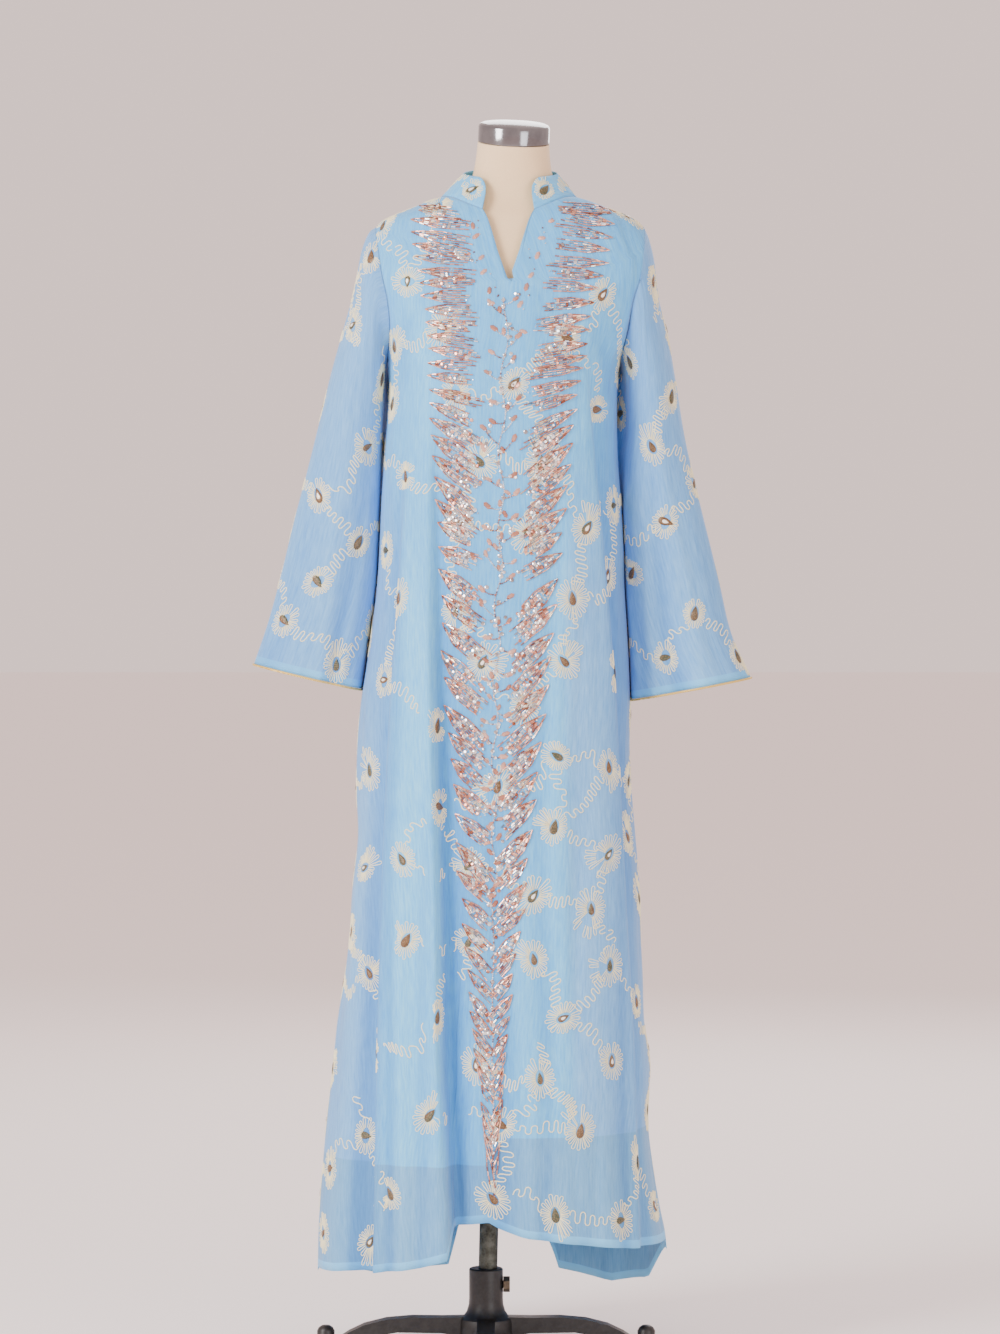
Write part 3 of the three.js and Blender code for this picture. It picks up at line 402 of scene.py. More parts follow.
def lay_out(panel):
    left, right = half_grid(panel, LEFT), half_grid(panel, RIGHT)[:, ::-1]
    grid = np.concatenate([left, right[:, 1:]], axis=1)
    normals = grid_normals(grid) * -panel
    print(PANEL_NAME[panel], "grid", grid.shape[:2], "middle normal",
          np.round(normals[len(grid) // 3, grid.shape[1] // 2], 2))
    return {"left": left, "right": right, "grid": grid, "normals": normals}


panels = {panel: lay_out(panel) for panel in (FRONT, BACK)}

# %% [markdown]
# ## From a grid to a mesh
#
# Every cloth piece becomes a mesh in the same way: the grid's cells are its faces, a UV map
# holds the cloth's own lengths in metres, so a weave keeps its size on it, and a few numbers at
# each point say how far it is from a hem. Solidify then gives the thin cloth its thickness.

# %% Making cloth
def place(points):
    return np.asarray(points, float).reshape(-1, 3) / 1000 + [STAND_X, 0, 0]


cuts = []
worn = {"front": [], "back": [], "left": [], "right": [], "collar": []}


def mesh_of(name, points, faces):
    mesh = bpy.data.meshes.new(name)
    mesh.vertices.add(len(points))
    mesh.vertices.foreach_set("co", place(points).ravel())
    mesh.loops.add(faces.size)
    mesh.loops.foreach_set("vertex_index", faces.ravel().astype(np.int32))
    mesh.polygons.add(len(faces))
    mesh.polygons.foreach_set("loop_start", np.arange(len(faces), dtype=np.int32) * faces.shape[1])
    mesh.update(calc_edges=True)
    mesh.shade_smooth()
    return mesh


def add_object(name, mesh, material, body, *nodes):
    piece = bpy.data.objects.new(name, mesh)
    bpy.context.collection.objects.link(piece)
    mesh.materials.append(material)
    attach(piece, body)
    if nodes:
        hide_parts(*nodes)
    return piece


def set_mark(mesh, name, values, kind="FLOAT", field="value"):
    """Keeps a number or a vector at each point, for a material or a node tree to read."""
    attribute = mesh.attributes.new(name, kind, "POINT")
    attribute.data.foreach_set(field, np.asarray(values, np.float32).ravel())


def numbered(grid, first=0):
    rows, columns = grid.shape[:2]
    return first + np.arange(rows * columns).reshape(rows, columns)


def cells(ids):
    quads = np.stack([ids[:-1, :-1], ids[:-1, 1:], ids[1:, 1:], ids[1:, :-1]], axis=-1)
    return quads.reshape(-1, 4)


def closed_round(grid):
    """A grid with its first column once more at the end, so that it closes round a tube."""
    return np.concatenate([grid, grid[:, :1]], axis=1)


def all_round(count):
    return np.arange(count) * 2 * math.pi / count


def only_used(count, grids):
    """The points that a cell uses, and the grids with these points' new numbers."""
    used = np.unique(np.concatenate([ids.ravel() for ids, _ in grids]))
    fresh = np.zeros(count, int)
    fresh[used] = np.arange(len(used))
    return used, [(fresh[ids], uv) for ids, uv in grids]


def runs(grid):
    """Lengths over the cloth, across from the first column and up from the first row."""
    across = np.linalg.norm(np.diff(grid, axis=1), axis=-1)
    up = np.linalg.norm(np.diff(grid, axis=0), axis=-1)
    across = np.concatenate([np.zeros((len(grid), 1)), np.cumsum(across, axis=1)], axis=1)
    up = np.concatenate([np.zeros((1, grid.shape[1])), np.cumsum(up, axis=0)], axis=0)
    return np.stack([across, up], axis=-1) / 1000


def add_cloth(name, points, grids, flip, marks, material, nodes, wall):
    """grids: pairs of vertex numbers and UV; marks: numbers at each point, by name."""
    faces = np.concatenate([cells(ids) for ids, _ in grids])
    corners = np.concatenate([uv.reshape(-1, 2)[cells(numbered(ids))] for ids, uv in grids])
    if flip:
        faces, corners = faces[:, ::-1], corners[:, ::-1]
    mesh = mesh_of(name, points, np.ascontiguousarray(faces))
    layer = mesh.uv_layers.new(name="cloth_run")
    layer.data.foreach_set("uv", np.ascontiguousarray(corners).ravel())
    for mark, values in marks.items():
        set_mark(mesh, mark, values)
    piece = add_object(name, mesh, material, GARMENT, *nodes)
    thicken = piece.modifiers.new("cloth_thickness", "SOLIDIFY")
    thicken.thickness = wall / 1000
    thicken.offset = -1
    return piece


def cloth_area(points, faces):
    corner = np.asarray(points, float).reshape(-1, 3)[faces] / 1000
    first = np.cross(corner[:, 1] - corner[:, 0], corner[:, 2] - corner[:, 0])
    second = np.cross(corner[:, 2] - corner[:, 0], corner[:, 3] - corner[:, 0])
    return float((np.linalg.norm(first, axis=1) + np.linalg.norm(second, axis=1)).sum() / 2)


def note_cut(piece, flat, area, held="hung", sewn_on=None):
    """Keeps a piece's cut for the list printed at the end, and prints its faces and area."""
    cuts.append((piece, flat, held, area, sewn_on))
    print(piece.name, len(piece.data.polygons), "faces, area", area, "m2")


# %% [markdown]
# ## Materials that the cloth shares
#
# Chiffon is a thin crinkled weave: seen from some way off it is matt and pale, with fine
# streaks that run down the cloth. A node group makes the streaks and the weave once, from the
# cloth's own lengths, and each cloth uses it with its own values.

# %% Crinkled weave group
def socket_in(group, name, kind, value=None):
    socket = group.interface.new_socket(name=name, in_out="INPUT", socket_type=kind)
    if value is not None:
        socket.default_value = value


def socket_out(group, name, kind):
    group.interface.new_socket(name=name, in_out="OUTPUT", socket_type=kind)


def node(tree, kind, **inputs):
    made = tree.nodes.new(kind)
    for key, value in inputs.items():
        if key in made.bl_rna.properties:
            setattr(made, key, value)
        else:
            made.inputs[key.replace("_", " ")].default_value = value
    return made


def crinkle_group():
    group = bpy.data.node_groups.new("crinkled_weave", "ShaderNodeTree")
    socket_in(group, "Run", "NodeSocketVector")
    socket_in(group, "Streaks", "NodeSocketFloat", 240.0)
    socket_in(group, "Threads", "NodeSocketFloat", 1400.0)
    socket_out(group, "Shade", "NodeSocketFloat")
    socket_out(group, "Height", "NodeSocketFloat")
    socket_out(group, "Drape", "NodeSocketFloat")
    start, end = group.nodes.new("NodeGroupInput"), group.nodes.new("NodeGroupOutput")
    link = group.links.new

    def drawn_out(texture, share):
        """Draws a noise out down the cloth: its length counts only by this share."""
        scaled = node(group, "ShaderNodeVectorMath", operation="MULTIPLY")
        scaled.inputs[1].default_value = (1.0, share, 1.0)
        link(start.outputs["Run"], scaled.inputs[0])
        link(scaled.outputs[0], texture.inputs["Vector"])
        return texture

    streaks = drawn_out(node(group, "ShaderNodeTexNoise", Detail=5.0, Roughness=0.62), 0.09)
    link(start.outputs["Streaks"], streaks.inputs["Scale"])
    threads = drawn_out(node(group, "ShaderNodeTexNoise", Detail=1.0), 0.35)
    link(start.outputs["Threads"], threads.inputs["Scale"])
    drape = drawn_out(
        node(group, "ShaderNodeTexNoise", Scale=21.0, Detail=2.0, Roughness=0.45), 0.045)
    mixed = node(group, "ShaderNodeMath", operation="MULTIPLY_ADD")
    mixed.inputs[1].default_value = 0.35
    link(threads.outputs["Fac"], mixed.inputs[0])
    link(streaks.outputs["Fac"], mixed.inputs[2])
    link(streaks.outputs["Fac"], end.inputs["Shade"])
    link(mixed.outputs[0], end.inputs["Height"])
    link(drape.outputs["Fac"], end.inputs["Drape"])
    return group


CRINKLE = crinkle_group()
print("group", CRINKLE.name)


# %% [markdown]
# The chiffon's tone tells what lies behind it. Over the lining it is a full sky blue. It is
# softer where it hangs loose, at the sides and on the sleeves, and greyest below the lining's
# hem, because light goes through it there. The turned hem is three layers thick and pale.
# Numbers kept at the points place these borders. One more number paints shade into the colour
# behind folds and in troughs, and paints light on ridges, the collar, the upper arms and the
# back's lower part.

# %% Chiffon
def colour(red, green, blue):
    """An sRGB colour in 0 to 255 as the linear colour that a shader wants."""
    linear = [((value / 255 + 0.055) / 1.055) ** 2.4 if value > 10 else value / 3294
              for value in (red, green, blue)]
    return (*linear, 1.0)


def start_material(name, **settings):
    material = bpy.data.materials.new(name)
    material.use_nodes = True
    tree = material.node_tree
    shader = tree.nodes["Principled BSDF"]
    for key, value in settings.items():
        shader.inputs[key.replace("_", " ")].default_value = value
    return material, tree, shader


def mix_colour(tree, share, first, second):
    mix = node(tree, "ShaderNodeMix", data_type="RGBA")
    for socket, value in ((0, share), (6, first), (7, second)):
        if isinstance(value, bpy.types.NodeSocket):
            tree.links.new(value, mix.inputs[socket])
        else:
            mix.inputs[socket].default_value = value
    return mix.outputs[2]


def step_at(tree, value, low, high):
    ramp = node(tree, "ShaderNodeMapRange")
    ramp.inputs["From Min"].default_value = low
    ramp.inputs["From Max"].default_value = high
    tree.links.new(value, ramp.inputs["Value"])
    return ramp.outputs["Result"]


def read_mark(tree, name):
    return node(tree, "ShaderNodeAttribute", attribute_name=name).outputs["Fac"]


def own_texture(tree, kind, **inputs):
    """A texture in the piece's own coordinates, so that it moves with the piece."""
    texture = node(tree, kind, **inputs)
    own = node(tree, "ShaderNodeTexCoord")
    tree.links.new(own.outputs["Object"], texture.inputs["Vector"])
    return texture


def cloth_weave(tree, streaks, threads):
    run = node(tree, "ShaderNodeUVMap", uv_map="cloth_run")
    weave = tree.nodes.new("ShaderNodeGroup")
    weave.node_tree = CRINKLE
    weave.inputs["Streaks"].default_value = streaks
    weave.inputs["Threads"].default_value = threads
    tree.links.new(run.outputs[0], weave.inputs["Run"])
    return weave


def add_bump(tree, shader, height, strength, distance, under=None):
    bump = node(tree, "ShaderNodeBump", Strength=strength, Distance=distance)
    tree.links.new(height, bump.inputs["Height"])
    if under is not None:
        tree.links.new(under, bump.inputs["Normal"])
    tree.links.new(bump.outputs["Normal"], shader.inputs["Normal"])
    return bump.outputs["Normal"]


HEM_TURNED = 11
NO_BORDER = 50.0


def chiffon_material():
    material, tree, shader = start_material(
        "sky_chiffon", Roughness=0.78, Sheen_Weight=0.22, Sheen_Roughness=0.45)
    weave = cloth_weave(tree, 380.0, 1700.0)
    streak = step_at(tree, weave.outputs["Shade"], 0.3, 0.72)
    lined = mix_colour(tree, streak, colour(74, 173, 245), colour(116, 207, 255))
    single = mix_colour(tree, streak, colour(84, 154, 210), colour(116, 180, 226))
    over_lining = step_at(tree, read_mark(tree, "above_lining_hem"), -1.0, 1.0)
    hanging = mix_colour(tree, streak, colour(90, 162, 228), colour(130, 194, 246))
    at_side = mix_colour(tree, read_mark(tree, "loose"), lined, hanging)
    body = mix_colour(tree, over_lining, single, at_side)
    in_hem = step_at(tree, read_mark(tree, "above_hem"), HEM_TURNED + 0.5, HEM_TURNED - 0.5)
    with_hem = mix_colour(tree, in_hem, body, colour(112, 198, 252))
    # painted light and shade: the colour is multiplied lighter on lit sides and darker behind folds
    # and in troughs
    painted_shade_share = step_at(tree, read_mark(tree, "painted_light_and_shade"), LIT, SHADED)
    painted_shading_gain = mix_colour(tree, painted_shade_share, (1.2, 1.1, 1.05, 1), (0.42, 0.6, 0.78, 1))
    shaded = node(tree, "ShaderNodeMix", data_type="RGBA", blend_type="MULTIPLY")
    shaded.inputs[0].default_value = 1.0
    tree.links.new(with_hem, shaded.inputs[6])
    tree.links.new(painted_shading_gain, shaded.inputs[7])
    tree.links.new(shaded.outputs[2], shader.inputs["Base Color"])
    draped = add_bump(tree, shader, weave.outputs["Drape"], 0.8, 0.012)
    add_bump(tree, shader, weave.outputs["Height"], 0.35, 0.0012, draped)
    return material


chiffon = chiffon_material()
print("material", chiffon.name)


# %% [markdown]
# ## The front and back panels
#
# The V at the neck parts the front's two halves: up to the row where it opens they share their
# middle points, above it they don't. The back is one piece all the way up.

# %% Panels
CLOTH_WALL = 0.8
PANEL_CUT_WIDTH = {FRONT: 0.62, BACK: 0.64}


def add_panel(panel):
    left, right, word = panels[panel]["left"], panels[panel]["right"], PANEL_NAME[panel]
    ids_left = numbered(left)
    ids_right = numbered(right, ids_left.size)
    last_joined = NOTCH_ROW if panel == FRONT else len(left)
    ids_right[:last_joined + 1, 0] = ids_left[:last_joined + 1, -1]
    uv = runs(panels[panel]["grid"])
    middle = left.shape[1]
    uv[..., 0] -= uv[:, middle - 1:middle, 0]
    uv_left, uv_right = uv[:, :middle], uv[:, middle - 1:]
    points = np.concatenate([left.reshape(-1, 3), right.reshape(-1, 3)])
    used, grids = only_used(len(points), [(ids_left, uv_left), (ids_right, uv_right)])
    above_hem = np.concatenate([uv_left[..., 1].ravel(), uv_right[..., 1].ravel()])[used] * 1000
    points = points[used]
    x, z = points[:, 0], points[:, 2]
    marks = {"above_lining_hem": z - np.interp(x, LINING_HEM["x"], LINING_HEM["z"]),
             "above_hem": above_hem, "painted_light_and_shade": painted_light_and_shade(panel, x, z),
             "loose": looseness(panel, x, z)}
    piece = add_cloth(f"{word}_panel_chiffon", points, grids, panel == BACK, marks,
                      chiffon, [f"{word}_panel"], CLOTH_WALL)
    area = cloth_area(points, np.concatenate([cells(ids) for ids, _ in grids]))
    flat = (PANEL_CUT_WIDTH[panel], float(uv[..., 1].max()))
    note_cut(piece, flat, round(area, 3), sewn_on=word)


add_panel(FRONT)
add_panel(BACK)

# %% [markdown]
# ## The lining
#
# A plain lining hangs inside the body from the neck to the calf. It shows at the V, from below
# at the hem, and as a change of tone. It is the panel's own grid moved inwards, and its lowest
# row lies on the lining's own hem.

# %% Lining
LINING_IN = 2.9
LINING_WALL = 0.6
LINING_OPENS = 1436.0
LINING_CUT = (0.56, 1.3)
ROWS_LEFT_OUT = 12


def lining_material():
    material, tree, shader = start_material(
        "lining_cloth", Roughness=0.7, Sheen_Weight=0.15, Sheen_Roughness=0.4)
    weave = cloth_weave(tree, 90.0, 1800.0)
    tint = mix_colour(tree, weave.outputs["Shade"], colour(96, 166, 222), colour(126, 190, 236))
    tree.links.new(tint, shader.inputs["Base Color"])
    add_bump(tree, shader, weave.outputs["Height"], 0.2, 0.0006)
    return material


lining = lining_material()


def points_at(stops, lengths, line):
    """Points of a line at these places along it."""
    return np.stack([np.interp(stops, lengths, values) for values in line.T], axis=-1)


def lining_grid(panel):
    inside = (panels[panel]["grid"] - panels[panel]["normals"] * LINING_IN)[::2, ::2]
    count = np.arange(len(inside))
    columns = []
    for line in np.swapaxes(inside, 0, 1):
        foot = np.interp(line[0, 0], LINING_HEM["x"], LINING_HEM["z"])
        first = np.interp(foot, line[:, 2], count)
        stops = np.linspace(first, len(line) - 1, len(line) - ROWS_LEFT_OUT)
        columns.append(points_at(stops, count, line))
    return np.stack(columns, axis=1)


def add_lining(panel):
    grid, word = lining_grid(panel), PANEL_NAME[panel]
    ids, uv = numbered(grid), runs(grid)
    parts = [(ids, uv)]
    if panel == FRONT:
        opens = int(np.searchsorted(grid[:, grid.shape[1] // 2, 2], LINING_OPENS))
        middle = (panels[panel]["left"].shape[1] - 1) // 2
        parts = [(ids[:opens + 1], uv[:opens + 1]), (ids[opens:, :middle], uv[opens:, :middle]),
                 (ids[opens:, middle + 1:], uv[opens:, middle + 1:])]
    used, parts = only_used(ids.size, parts)
    points = grid.reshape(-1, 3)[used]
    piece = add_cloth(f"{word}_lining", points, parts, panel == BACK, {}, lining,
                      [f"lining_{word}"], LINING_WALL)
    area = cloth_area(points, np.concatenate([cells(part) for part, _ in parts]))
    note_cut(piece, LINING_CUT, round(area, 3))


add_lining(FRONT)
add_lining(BACK)

# %% [markdown]
# ## The sleeves
#
# A bell sleeve is one tube from the armhole to the cuff. It is given by a few slanted rings,
# each with an outer point, an inner point and a depth, and a smooth curve runs through them.
# The armhole's own oval is the first ring, so the sleeve starts right on its seam.

# %% Sleeve tables
SLEEVE_COLUMNS = ["outX", "outZ", "inX", "inZ", "depth"]
SLEEVES = {
    LEFT: table(SLEEVE_COLUMNS, [
        [-158, 1513, -133, 1338, 68], [-168, 1487, -135, 1326, 68],
        [-177, 1440, -136, 1306, 66], [-192, 1385, -137, 1276, 62],
        [-208, 1328, -139.8, 1240, 57], [-224, 1262, -141.2, 1196, 52],
        [-241, 1194, -143.2, 1148, 48], [-258, 1130, -145.6, 1092, 45],
        [-275, 1060, -149.8, 1030, 44], [-293, 993, -159.2, 964, 46],
        [-313, 934, -168.4, 900, 50],
    ]),
    RIGHT: table(SLEEVE_COLUMNS, [
        [220, 1504, 183, 1338, 68], [227, 1474, 186, 1324, 68], [233, 1425, 189, 1303, 66],
        [246, 1370, 191, 1272, 62], [256, 1313, 191, 1236, 57], [267, 1245, 187.5, 1192, 52],
        [281, 1181, 185.5, 1142, 48], [298, 1112, 187.8, 1086, 45], [315, 1043, 190.2, 1022, 44],
        [331, 975, 194, 954, 46], [357, 916, 196.6, 886, 50],
    ]),
}
TROUGH_COLUMNS = ["at", "width", "deep", "start"]
SLEEVE_TROUGHS = {
    LEFT: table(TROUGH_COLUMNS, [
        [122, 9, 6, 4], [45, 22, 4, 4], [250, 20, 8, 5], [99, 11, -3, 4], [152, 9, -2, 6],
        [20, 9, 1.8, 6], [300, 12, 3, 4], [212, 10, -2.5, 5], [330, 9, -2, 7],
    ]),
    RIGHT: table(TROUGH_COLUMNS, [
        [101, 9, 5, 4], [146, 9, 3, 5], [235, 22, 8, 5], [79, 12, -3, 4], [32, 8, 1.8, 6],
        [125, 7, -2, 5], [290, 12, 3, 4], [205, 10, -2, 6], [325, 9, -2.2, 5],
    ]),
}
AROUND = 80
RING_STEPS = 9
SEAM_GAP = 0.32
TUCK = {"at": 211, "width": 22, "gap": 0.4}
UPPER_ARM_LIT = {"at": 158, "width": 30, "by": 0.4}
SLEEVE_CUT = (0.42, 0.62)


def through(rings, finer):
    """A smooth curve through each line of points, with finer steps between two rings."""
    padded = np.concatenate([[2 * rings[0] - rings[1]], rings, [2 * rings[-1] - rings[-2]]])
    made = []
    for k in range(len(rings) - 1):
        a, b, c, d = padded[k:k + 4]
        for t in np.arange(finer) / finer:
            made.append(0.5 * (2 * b + (c - a) * t + (2 * a - 5 * b + 4 * c - d) * t ** 2
                               + (3 * b - a - 3 * c + d) * t ** 3))
    return np.array([*made, rings[-1]])


def seam_x(side, z):
    return smooth(BODY, "z", SIDE_NAME[side], z)


def troughs(side, degrees, down):
    """How deep each trough of a sleeve is at these angles, and so many rings down."""
    last = len(SLEEVES[side]["depth"]) - 1
    for middle, width, deep, start in zip(*SLEEVE_TROUGHS[side].values()):
        off = (degrees - middle - 6 * np.sin(down * 0.9 + middle)) / width
        yield deep * np.clip((down - start) / (last - start), 0, 1) * np.exp(-off * off)


def near_angle(degrees, band):
    return np.exp(-((degrees - band["at"]) / band["width"]) ** 2)


def sleeve_grid(side):
    angle = all_round(AROUND)
    z = ARMHOLE_MIDDLE + ARMHOLE_HALF * np.cos(angle)
    reach = np.where(np.sin(angle) > 0, ARMHOLE_REACH[FRONT], ARMHOLE_REACH[BACK])
    armhole = [seam_x(side, z) + side * SEAM_GAP, -reach * np.sin(angle), z]
    rings = [np.stack(armhole, axis=-1)]
    for k, (out_x, out_z, in_x, in_z, depth) in enumerate(zip(*SLEEVES[side].values())):
        outer, inner = np.array([out_x, 0, out_z]), np.array([in_x, 0, in_z])
        share = np.ones(AROUND)
        for trough in troughs(side, np.degrees(angle), k):
            share -= trough / depth
        ring = (outer + inner) / 2 + np.outer(np.cos(angle), (outer - inner) / 2)
        ring[:, 1] = -depth * np.sin(angle) * share
        tuck = near_angle(np.degrees(angle), TUCK) * min(k, 1)
        ring[:, 0] += tuck * (float(seam_x(side, in_z)) - side * TUCK["gap"] - ring[:, 0])
        rings.append(ring)
    return through(np.array(rings), RING_STEPS)


# %% [markdown]
# The folds of a sleeve start near the elbow and deepen towards the cuff. The same table that
# pushes the rings in also paints shade into each trough's colour, so a fold reads in a soft
# light too, and the upper arm's side gets painted light.

# %% Sleeves
def painted_sleeve_light_and_shade(side, rings):
    degrees = np.degrees(all_round(AROUND))
    down = np.linspace(-1, len(SLEEVES[side]["depth"]) - 1, rings)[:, None]
    # painted shade: troughs darken the colour; painted light: the upper arm's side is made lighter
    tone = sum(troughs(side, degrees, down)) / 6.5
    painted_lit_share = near_angle(degrees, UPPER_ARM_LIT) * np.clip(down / 3, 0, 1)
    return np.clip(tone - UPPER_ARM_LIT["by"] * painted_lit_share, LIT, SHADED)


def add_sleeve(side):
    grid, word = sleeve_grid(side), SIDE_NAME[side]
    uv = runs(closed_round(grid))
    uv[..., 1] = uv[-1:, :, 1] - uv[..., 1]
    ids = numbered(grid)
    marks = {"above_lining_hem": np.full(ids.size, NO_BORDER),
             "above_hem": uv[:, :-1, 1].ravel() * 1000,
             "painted_light_and_shade": painted_sleeve_light_and_shade(side, len(grid)).ravel(), "loose": np.ones(ids.size)}
    piece = add_cloth(f"sleeve_{word}_chiffon", grid.reshape(-1, 3), [(closed_round(ids), uv)],
                      side == LEFT, marks, chiffon, [f"sleeve_{word}"], CLOTH_WALL)
    area = cloth_area(grid, cells(closed_round(ids)))
    note_cut(piece, SLEEVE_CUT, round(area, 3), sewn_on=word)
    return grid


sleeves = {side: add_sleeve(side) for side in (LEFT, RIGHT)}

# %% [markdown]
# ## The stand collar
#
# The collar is a band of two layers that stands on the neckline and leans in towards the neck.
# Its front ends are rounded. It is laid along the panels' own top rows, so it meets them all
# the way round, and the rounding is a shorter reach near each end.

# %% Collar
COLLAR_TOP = {"half": 63, "front": 54, "back": 58, "x": 33, "y": -4, "height": 1594, "tilt": 0.2}
COLLAR_ROUND = 24
COLLAR_END_SHARE = 0.5
COLLAR_ROWS = 10
COLLAR_COLUMNS = 150
COLLAR_WALL = 1.5
COLLAR_GAP = 0.4
# painted light: the whole collar's colour is made a little lighter
COLLAR_PAINTED_LIGHT = -0.4
COLLAR_CUT_HIGH = 0.062


def lengths_along(line):
    return np.append(0, np.cumsum(np.linalg.norm(np.diff(line, axis=0), axis=1)))


def collar_heads(feet):
    """The collar's upper edge above each point of the neckline."""
    top = COLLAR_TOP
    turn = np.arctan2(feet[:, 1] - top["y"], feet[:, 0] - top["x"])
    depth = np.where(feet[:, 1] < top["y"], top["front"], top["back"])
    y = top["y"] + depth * np.sin(turn)
    height = top["height"] + top["tilt"] * (y - top["y"])
    return np.stack([top["x"] + top["half"] * np.cos(turn), y, height], axis=-1)


def add_collar():
    left, right, back = panels[FRONT]["left"], panels[FRONT]["right"], panels[BACK]["grid"]
    neckline = np.concatenate([left[-1][::-1], back[-1][1:-1], right[-1][::-1]])
    lengths = lengths_along(neckline)
    ease = np.linspace(0, 1, COLLAR_COLUMNS)
    stops = lengths[-1] * (ease - 0.06 * np.sin(2 * math.pi * ease))
    feet = points_at(stops, lengths, neckline)
    from_end = np.minimum(stops, lengths[-1] - stops)
    rounding = np.sqrt(1 - (1 - np.minimum(from_end / COLLAR_ROUND, 1)) ** 2)
    reach = COLLAR_END_SHARE + (1 - COLLAR_END_SHARE) * rounding
    rise = np.linspace(0, 1, COLLAR_ROWS + 1)[:, None, None] * reach[None, :, None]
    grid = (feet + [0, 0, COLLAR_GAP])[None] * (1 - rise) + collar_heads(feet)[None] * rise
    ids = numbered(grid)
    marks = {"above_lining_hem": np.full(ids.size, NO_BORDER),
             "above_hem": np.full(ids.size, NO_BORDER),
             "painted_light_and_shade": np.full(ids.size, COLLAR_PAINTED_LIGHT), "loose": np.zeros(ids.size)}
    piece = add_cloth("stand_collar", grid.reshape(-1, 3), [(ids, runs(grid))], True, marks,
                      chiffon, ["collar"], COLLAR_WALL)
    area = cloth_area(grid, cells(ids))
    flat = (round(lengths[-1] / 1000, 3), COLLAR_CUT_HIGH)
    note_cut(piece, flat, round(area, 4), held="stretched", sewn_on="collar")
    return grid


collar_grid = add_collar()

# %% [markdown]
# ## Gold piping at the cuffs
#
# A metallic cord is sewn along each cuff. It is a thin tube along the sleeve's last row, and
# its faces are turned outwards.

# %% Piping
PIPING_R = 1.5
PIPING_IN, PIPING_GAP = 0.5, 0.2
PIPING_SIDES = 10


def metal_cord_material():
    material, tree, shader = start_material("gold_piping", Roughness=0.4, Metallic=0.3)
    plies = own_texture(tree, "ShaderNodeTexWave", Scale=260.0, Distortion=1.5,
                        wave_type="BANDS", bands_direction="DIAGONAL")
    tint = mix_colour(tree, plies.outputs["Fac"], colour(200, 158, 66), colour(242, 214, 130))
    tree.links.new(tint, shader.inputs["Base Color"])
    add_bump(tree, shader, plies.outputs["Fac"], 0.5, 0.0004)
    return material


gold_piping = metal_cord_material()


def turn_outwards(mesh):
    shaped = bmesh.new()
    shaped.from_mesh(mesh)
    bmesh.ops.recalc_face_normals(shaped, faces=shaped.faces)
    shaped.to_mesh(mesh)
    shaped.free()


def add_piping(side):
    word, edge, above = SIDE_NAME[side], sleeves[side][-1], sleeves[side][-2]
    down = edge - above
    down /= np.linalg.norm(down, axis=1, keepdims=True)
    ahead = np.roll(edge, -1, axis=0) - np.roll(edge, 1, axis=0)
    out = np.cross(down, ahead) * side
    out /= np.linalg.norm(out, axis=1, keepdims=True)
    middle = edge - out * PIPING_IN + down * (PIPING_R + PIPING_GAP)
    turns = all_round(PIPING_SIDES)
    tube = (middle[:, None] + PIPING_R * (np.cos(turns)[None, :, None] * out[:, None]
                                          + np.sin(turns)[None, :, None] * down[:, None]))
    ids = numbered(tube)
    faces = cells(closed_round(np.concatenate([ids, ids[:1]])))
    mesh = mesh_of(f"cuff_piping_{word}_cord", tube.reshape(-1, 3), faces)
    turn_outwards(mesh)
    piece = add_object(mesh.name, mesh, gold_piping, GARMENT, f"cuff_piping_{word}")
    worn[word].append(piece)
    print(piece.name, len(mesh.polygons), "faces")


add_piping(LEFT)
add_piping(RIGHT)

# %% [markdown]
# ## Laying thread and beads on the cloth
#
# Thread, beads and stones are drawn flat and then moved onto the cloth. A search tree over the
# cloth's grid gives the nearest point, and the way the cloth faces there. Points that would land
# off an edge, or deep behind a fold, are left out, so a motif ends where its cloth ends.

# %% Finding the cloth
SEEDS = {"body": 41, "left": 7, "right": 19, "collar": 5, "patches": 77, "beads": 97,
         "leaves": 23, "vine": 61}
SCRAP = 14
UPWARD = np.array([0, 0.25, 1.0])


def search_tree(*grids):
    points, faces, count = [], [], 0
    for grid, flip in grids:
        quads = cells(numbered(grid, count))
        faces.append(quads[:, ::-1] if flip else quads)
        points.append(grid.reshape(-1, 3))
        count += len(points[-1])
    return BVHTree.FromPolygons(np.concatenate(points).tolist(), np.concatenate(faces).tolist())


def unit(vectors):
    length = np.linalg.norm(vectors, axis=-1, keepdims=True)
    return vectors / np.maximum(length, 1e-9)


def lay(tree, flat, deep=9.0):
    """The cloth's points nearest to flat ones, its normals there, and which of them count."""
    hits = [tree.find_nearest(point) for point in flat.tolist()]
    on = np.array([hit[0] for hit in hits])
    facing = np.array([hit[1] for hit in hits])
    away = flat - on
    straight = (away * facing).sum(axis=1)
    aside = np.linalg.norm(away - facing * straight[:, None], axis=1)
    return on, facing, (np.abs(straight) < deep) & (aside < 0.7 + 0.2 * np.abs(straight))


def unbroken(on, facing, good, longest):
    """Cuts a laid line where points are missing or a step is too long, and drops scraps."""
    step = np.linalg.norm(np.diff(on, axis=0), axis=1)
    breaks = np.flatnonzero(~(good[1:] & good[:-1] & (step < longest))) + 1
    ends = [0, *breaks, len(on)]
    return [(on[a:b], facing[a:b]) for a, b in zip(ends, ends[1:])
            if b - a > 2 and step[a:b - 1].sum() > SCRAP]


def directions(facing):
    """Right and up on the cloth, for each way that it faces."""
    up = unit(UPWARD - facing * (facing @ UPWARD)[..., None])
    return np.cross(up, facing), up


